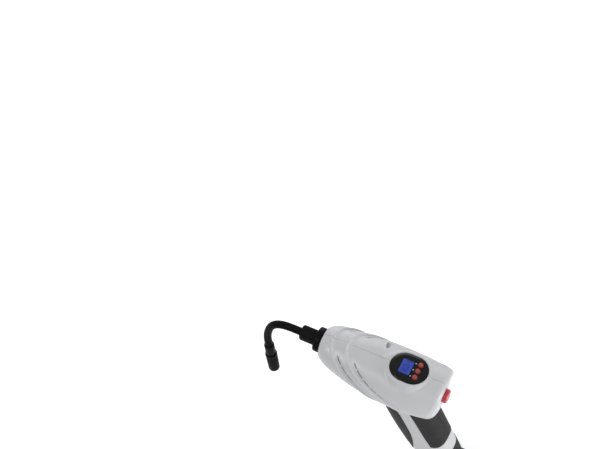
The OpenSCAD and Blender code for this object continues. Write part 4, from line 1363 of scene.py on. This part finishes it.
        patch = Bench.shaped_grid(name, columns, rows, spot)
        middle = sum((p.co for p in patch.data.vertices), Vector()) / len(patch.data.vertices)
        face = patch.data.polygons[len(patch.data.polygons) // 2]
        axis = Vector((HANDLE.section(middle.z / MM)[0] * MM, 0.0, middle.z))
        if face.normal.dot(face.center - axis) < 0.0:
            patch.data.flip_normals()
        Bench.modified(patch, "SOLIDIFY", thickness=self.rubber_wall * MM, offset=-1.0)
        Bench.modified(
            patch, "BEVEL", width=self.rubber_round * MM, segments=3, limit_method="ANGLE",
            angle_limit=math.radians(50.0),
        )
        self.place(patch, Shop.GRIP, "housing", "grip_rubber", [node])

    def front_rubber(self) -> None:
        """Lay the crescent along the handle's front edge."""
        levels = spread(43.0, 80.0, 740)
        low = next(z for z in levels if HANDLE.edge_angle(self.front_edge, z) < math.pi - 0.02)

        def place(u: float, v: float) -> Pair:
            """Return the height and the angle for shares across and up."""
            z = mix(low, self.front_top, v)
            return z, math.pi + (math.pi - HANDLE.edge_angle(self.front_edge, z)) * (2 * u - 1)

        self.patch("front_rubber", "front_grip", 110, place)

    def side_rubber(self, side: Side) -> None:
        """Lay one side's rubber, from the silver strip round to the handle's back.

        Args:
            side: The side.
        """

        def place(u: float, v: float) -> Pair:
            """Return the height and the angle for shares across and up."""
            z = mix(mix(*self.side_low, smooth(0.0, 1.0, u)), self.side_top, v)
            return z, side.value * mix(HANDLE.edge_angle(self.side_edge, z), 0.0004, u)

        name = side.name.lower() + "_side_"
        self.patch(name + "rubber", name + "grip", 90, place)

    def lower_rubber(self) -> None:
        """Lay the small wedge at the back, above the battery pack."""
        low = next(z for z in spread(42.0, 60.0, 360) if HANDLE.edge_angle(self.lower_edge, z) > 0.05)

        def place(u: float, v: float) -> Pair:
            """Return the height and the angle for shares across and up."""
            z = mix(low, self.lower_edge[-1][0], v)
            return z, HANDLE.edge_angle(self.lower_edge, z) * (2 * u - 1)

        self.patch("lower_rubber", "lower_grip", 50, place)


# ---------------------------------------------------------------- display and button


@dataclass
class Display(SubAssembly):
    """The black bezel with its screen, keys and lights."""

    key_x: float = -49.5
    light_x: float = -55.0
    pitch: float = 8.6
    screen: tuple[Pair, Pair] = ((-69.8, -10.0), (-57.8, 10.0))
    digit_z: Pair = (214.55, 214.63)
    texts: tuple[tuple[str, float, float, float], ...] = (("350", -63.4, -7.6, 5.6), ("28", -63.8, 3.8, 4.0))
    digit_pitch: float = 0.68  # for each millimetre of height
    bezel_edge: Pairs = (
        (-0.25, 210.0), (-0.05, 210.3), (0.0, 213.0), (-0.3, 213.4), (-0.8, 213.8), (-1.6, 214.15),
        (-2.6, 214.4), (-3.8, 214.6), (-5.5, 214.74), (-8.0, 214.82), (-14.0, 214.86),
    )
    well: tuple[Point, ...] = (  # how far it is wider than the screen, its corners and its height
        (-0.9, 0.6, 209.0), (-0.9, 0.6, 213.2), (1.0, 1.4, 213.201), (1.0, 1.4, 214.55), (1.25, 1.6, 214.8),
        (1.8, 2.1, 216.0),
    )
    pane: Pairs = ((0.8, 213.2), (0.8, 214.35), (0.7, 214.5), (0.45, 214.6))
    key_hole: Pairs = ((3.8, 209.0), (3.8, 214.5), (3.9, 214.7), (4.2, 214.9), (5.2, 215.8))
    light_hole: Pairs = ((1.0, 209.0), (1.0, 214.7), (1.3, 215.0))
    key_profile: Pairs = (
        (208.7, 1.4), (208.701, 4.05), (209.7, 4.05), (209.701, 3.6), (214.7, 3.6), (215.0, 3.5),
        (215.15, 3.3), (215.2, 3.05), (215.45, 3.0), (215.75, 2.8), (215.98, 2.4), (216.1, 1.8),
        (216.17, 1.0), (216.2, 0.2),
    )
    light_profile: Pairs = ((205.6, 0.93), (214.3, 0.93), (214.5, 0.85), (214.62, 0.6), (214.66, 0.2))
    DIGITS: ClassVar[dict[str, str]] = {
        "3": "ABGCD", "5": "AFGCD", "0": "ABCDEF", "2": "ABGED", "8": "ABCDEFG",
    }
    BARS: ClassVar[dict[str, tuple[int, ...]]] = {
        "A": (-1, 0, -1, 1), "G": (0, 0, 0, 1), "D": (1, 0, 1, 1), "F": (-1, 0, 0, 0), "B": (-1, 1, 0, 1),
        "E": (0, 0, 1, 0), "C": (0, 1, 1, 1),
    }

    def build(self) -> None:
        """Make the bezel and everything that shows in it."""
        self.bezel()
        self.glass()
        for index, name in ((-1, "minus_key"), (0, "mode_key"), (1, "plus_key")):
            self.key(index, name)
        self.lights()

    def bezel(self) -> None:
        """Make the domed bezel with its openings and rolled edge."""
        bezel = Bench.stacked("display_panel", [PANEL.ring(grow, z) for grow, z in self.bezel_edge])
        Bench.combine(bezel, Bench.stacked("well", [oblong(*self.screen, *step) for step in self.well]))
        for y in (-self.pitch, 0.0, self.pitch):
            for x, hole, count in ((self.key_x, self.key_hole, 56), (self.light_x, self.light_hole, 24)):
                Bench.combine(bezel, Bench.stacked("hole", [circle(x, y, r, z, count) for r, z in hole]))
        self.place(bezel, Shop.BEZEL, "housing", "gloss_black", ["display_bezel"], 30.0)

    def glass(self) -> None:
        """Make the screen, its digits, a point and a bar."""
        rings = [oblong(*self.screen, grow, 1.2, z) for grow, z in self.pane]
        self.place(Bench.stacked("screen_pane", rings), Shop.SCREEN, "housing", "screen", ["lcd_window"])
        low, high = self.digit_z
        made = []
        for text, x, y, height in self.texts:
            for place, digit in enumerate(text):
                made += self.digit(digit, x, y + place * height * self.digit_pitch, height)
        made.append(Bench.block("point", (-61.6, -0.15, low), (-61.1, 0.35, high)))
        made.append(Bench.block("bar", (-67.8, -7.9, low), (-67.3, 7.9, high)))
        self.place(Bench.joined(made), Shop.DIGITS, "housing", "screen")
        made[0].name = "screen_digits"

    def digit(self, text: str, x: float, y: float, height: float) -> list[Piece]:
        """Make one seven-part digit, whose top points to the nose.

        Args:
            text: The digit.
            x: Its middle along the barrel.
            y: Its left side.
            height: Its height.

        Returns:
            Its bars.
        """
        h, w, t = height / 2, height * 0.46, height * 0.13
        made = []
        for xa, ya, xb, yb in (self.BARS[name] for name in self.DIGITS[text]):
            trim_x, trim_y = (0.0, t * 0.6) if xa == xb else (t * 0.6, 0.0)
            low = (x + xa * h - t / 2 + trim_x, y + ya * w - t / 2 + trim_y, self.digit_z[0])
            high = (x + xb * h + t / 2 - trim_x, y + yb * w + t / 2 - trim_y, self.digit_z[1])
            made.append(Bench.block("bar", low, high))
        return made

    def key(self, index: int, name: str) -> None:
        """Make one domed key with a step between its skirt and its cap.

        Args:
            index: Its place in the row.
            name: Its CAD node.
        """
        place = Matrix.Translation((self.key_x * MM, index * self.pitch * MM, 0.0))
        key = Bench.turned(name + "_cap", self.key_profile, place, 64)
        self.place(key, Shop.KEY, name + "_body", "red_plastic", [name])

    def lights(self) -> None:
        """Make the three small light guides."""
        places = [Matrix.Translation((self.light_x * MM, i * self.pitch * MM, 0)) for i in (-1, 0, 1)]
        guides = [Bench.turned("light_guides", self.light_profile, place, 24) for place in places]
        self.place(Bench.joined(guides), Shop.LIGHT, "housing", "light_plastic", ["indicator_lights"])


@dataclass
class PowerControl(SubAssembly):
    """The round button on the rear face."""

    profile: Pairs = (
        (-21.8, 2.5), (-17.1, 2.5), (-17.099, 9.9), (-15.7, 9.9), (-15.699, 8.5), (-10.7, 8.5), (-10.1, 8.38),
        (-9.5, 8.0), (-9.15, 7.4), (-9.0, 6.7), (-9.03, 5.6), (-9.2, 3.8), (-9.32, 2.0), (-9.35, 0.3),
    )

    def build(self) -> None:
        """Make the button with its rolled rim and dished face."""
        place = facing((0.0, 0.0, BARREL.button_z), (1.0, 0.0, 0.0))
        button = Bench.turned("power_button_cap", self.profile, place)
        self.place(button, Shop.BUTTON, "power_button_body", "red_plastic", ["power_button"])


# ---------------------------------------------------------------- inner works and pack


@dataclass
class Works(SubAssembly):
    """The nodes that keep their CAD shape and get a finish."""

    def build(self) -> None:
        """Dress each node of the record by its slot, or by its own finish."""
        slots = {
            "pack_plastic": Shop.PACK, "black_plastic": Shop.BLACK, "gloss_black": Shop.BEZEL,
            "shell_plastic": Shop.SHELL, "red_plastic": Shop.KEY, "light_plastic": Shop.LIGHT,
            "screen": Shop.SCREEN, "white_nylon": Shop.NYLON, "cell_wrap": Shop.CELL,
            "grip_rubber": Shop.GRIP, "hose_rubber": Shop.HOSE, "seal_rubber": Shop.SEAL,
            "steel": Shop.STEEL, "brass": Shop.BRASS, "aluminium": Shop.CAST, "circuit_board": Shop.BOARD,
        }
        own = {"rotor_core": Shop.COPPER}
        for part in frame["record"]["subparts"]:
            node = part["node"]
            self.shop.dress(frame["nodes"][node], own.get(node, slots[part["material_slot"]]))


# ---------------------------------------------------------------- studio


@dataclass(frozen=True)
class Lamp:
    """One soft square lamp."""

    name: str
    place: Point
    size: float
    power: float

    def hang(self, aim: Point) -> None:
        """Add the lamp to the scene.

        Args:
            aim: The point that it looks at.
        """
        data = bpy.data.lights.new(self.name, "AREA")
        data.energy, data.size = self.power, self.size
        lamp = bpy.data.objects.new(self.name, data)
        bpy.context.scene.collection.objects.link(lamp)
        turn = (Vector(self.place) - Vector(aim)).to_track_quat("Z", "Y").to_matrix().to_4x4()
        lamp.matrix_world = Matrix.Translation(self.place) @ turn


@dataclass(frozen=True)
class Studio:
    """The camera, the lamps, the world and the floor."""

    place: Point = (0.2934, -1.0290, 2.2347)
    right: Point = (0.902, 0.431, 0.0)
    up: Point = (-0.3646, 0.763, 0.5336)
    back: Point = (0.2301, -0.4815, 0.8457)
    lens: float = 120.0
    aim: Point = (-0.07, 0.0, 0.15)
    lamps: tuple[Lamp, ...] = (
        Lamp("key_lamp", (-0.9, -1.0, 1.5), 0.6, 12.5),
        Lamp("rim_lamp", (1.7, -0.2, 0.45), 0.4, 23.0),
        Lamp("back_lamp", (-0.7, 1.4, 0.8), 1.2, 12.0),
    )
    floor_grey: float = 0.82
    floor_glow: float = 0.35

    def camera(self) -> None:
        """Place the camera."""
        data = bpy.data.cameras.new("camera")
        data.lens, data.sensor_width, data.sensor_fit = self.lens, 36.0, "HORIZONTAL"
        data.clip_start, data.clip_end = 0.05, 20.0
        camera = bpy.data.objects.new("camera", data)
        bpy.context.scene.collection.objects.link(camera)
        turn = Matrix((self.right, self.up, self.back)).transposed().to_4x4()
        camera.matrix_world = Matrix.Translation(self.place) @ turn
        bpy.context.scene.camera = camera

    def light(self) -> None:
        """Hang the lamps in a world that lights plainly and shows white."""
        for lamp in self.lamps:
            lamp.hang(self.aim)
        world = bpy.data.worlds.new("studio")
        bpy.context.scene.world = world
        world.use_nodes = True
        graph = Graph(world.node_tree)
        white = {"Color": (1.0, 1.0, 1.0, 1.0), "Strength": 0.5 + graph.seen() * 0.5}
        glow = graph.node("ShaderNodeBackground", white)["Background"]
        graph.node("ShaderNodeOutputWorld", {"Surface": glow})

    def floor(self) -> None:
        """Lay a pale floor that shows white and keeps the shadow."""
        Bench.clear()
        bpy.ops.mesh.primitive_grid_add(x_subdivisions=8, y_subdivisions=8, size=8.0)
        floor = Bench.named("studio_floor")
        paint = Paint("floor_white")
        paint.set(
            Base_Color=(self.floor_grey, self.floor_grey, self.floor_grey, 1.0),
            Roughness=0.9,
            Specular_IOR_Level=0.0,
            Emission_Color=(1.0, 1.0, 1.0, 1.0),
            Emission_Strength=paint.seen() * self.floor_glow,
        )
        floor.data.materials.append(paint.material)


def main() -> None:
    """Build the whole scene."""
    logging.basicConfig(level=logging.INFO, format="%(name)s: %(message)s")
    bpy.context.scene.view_settings.view_transform = "Standard"
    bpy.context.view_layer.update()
    studio = Studio()
    studio.camera()
    shop = Shop()
    for assembly in (Works(shop), HoseLine(shop), Display(shop), PowerControl(shop), Case(shop)):
        assembly.build()
    studio.light()
    studio.floor()
    Bench.clear()


if __name__ == "__main__":
    main()
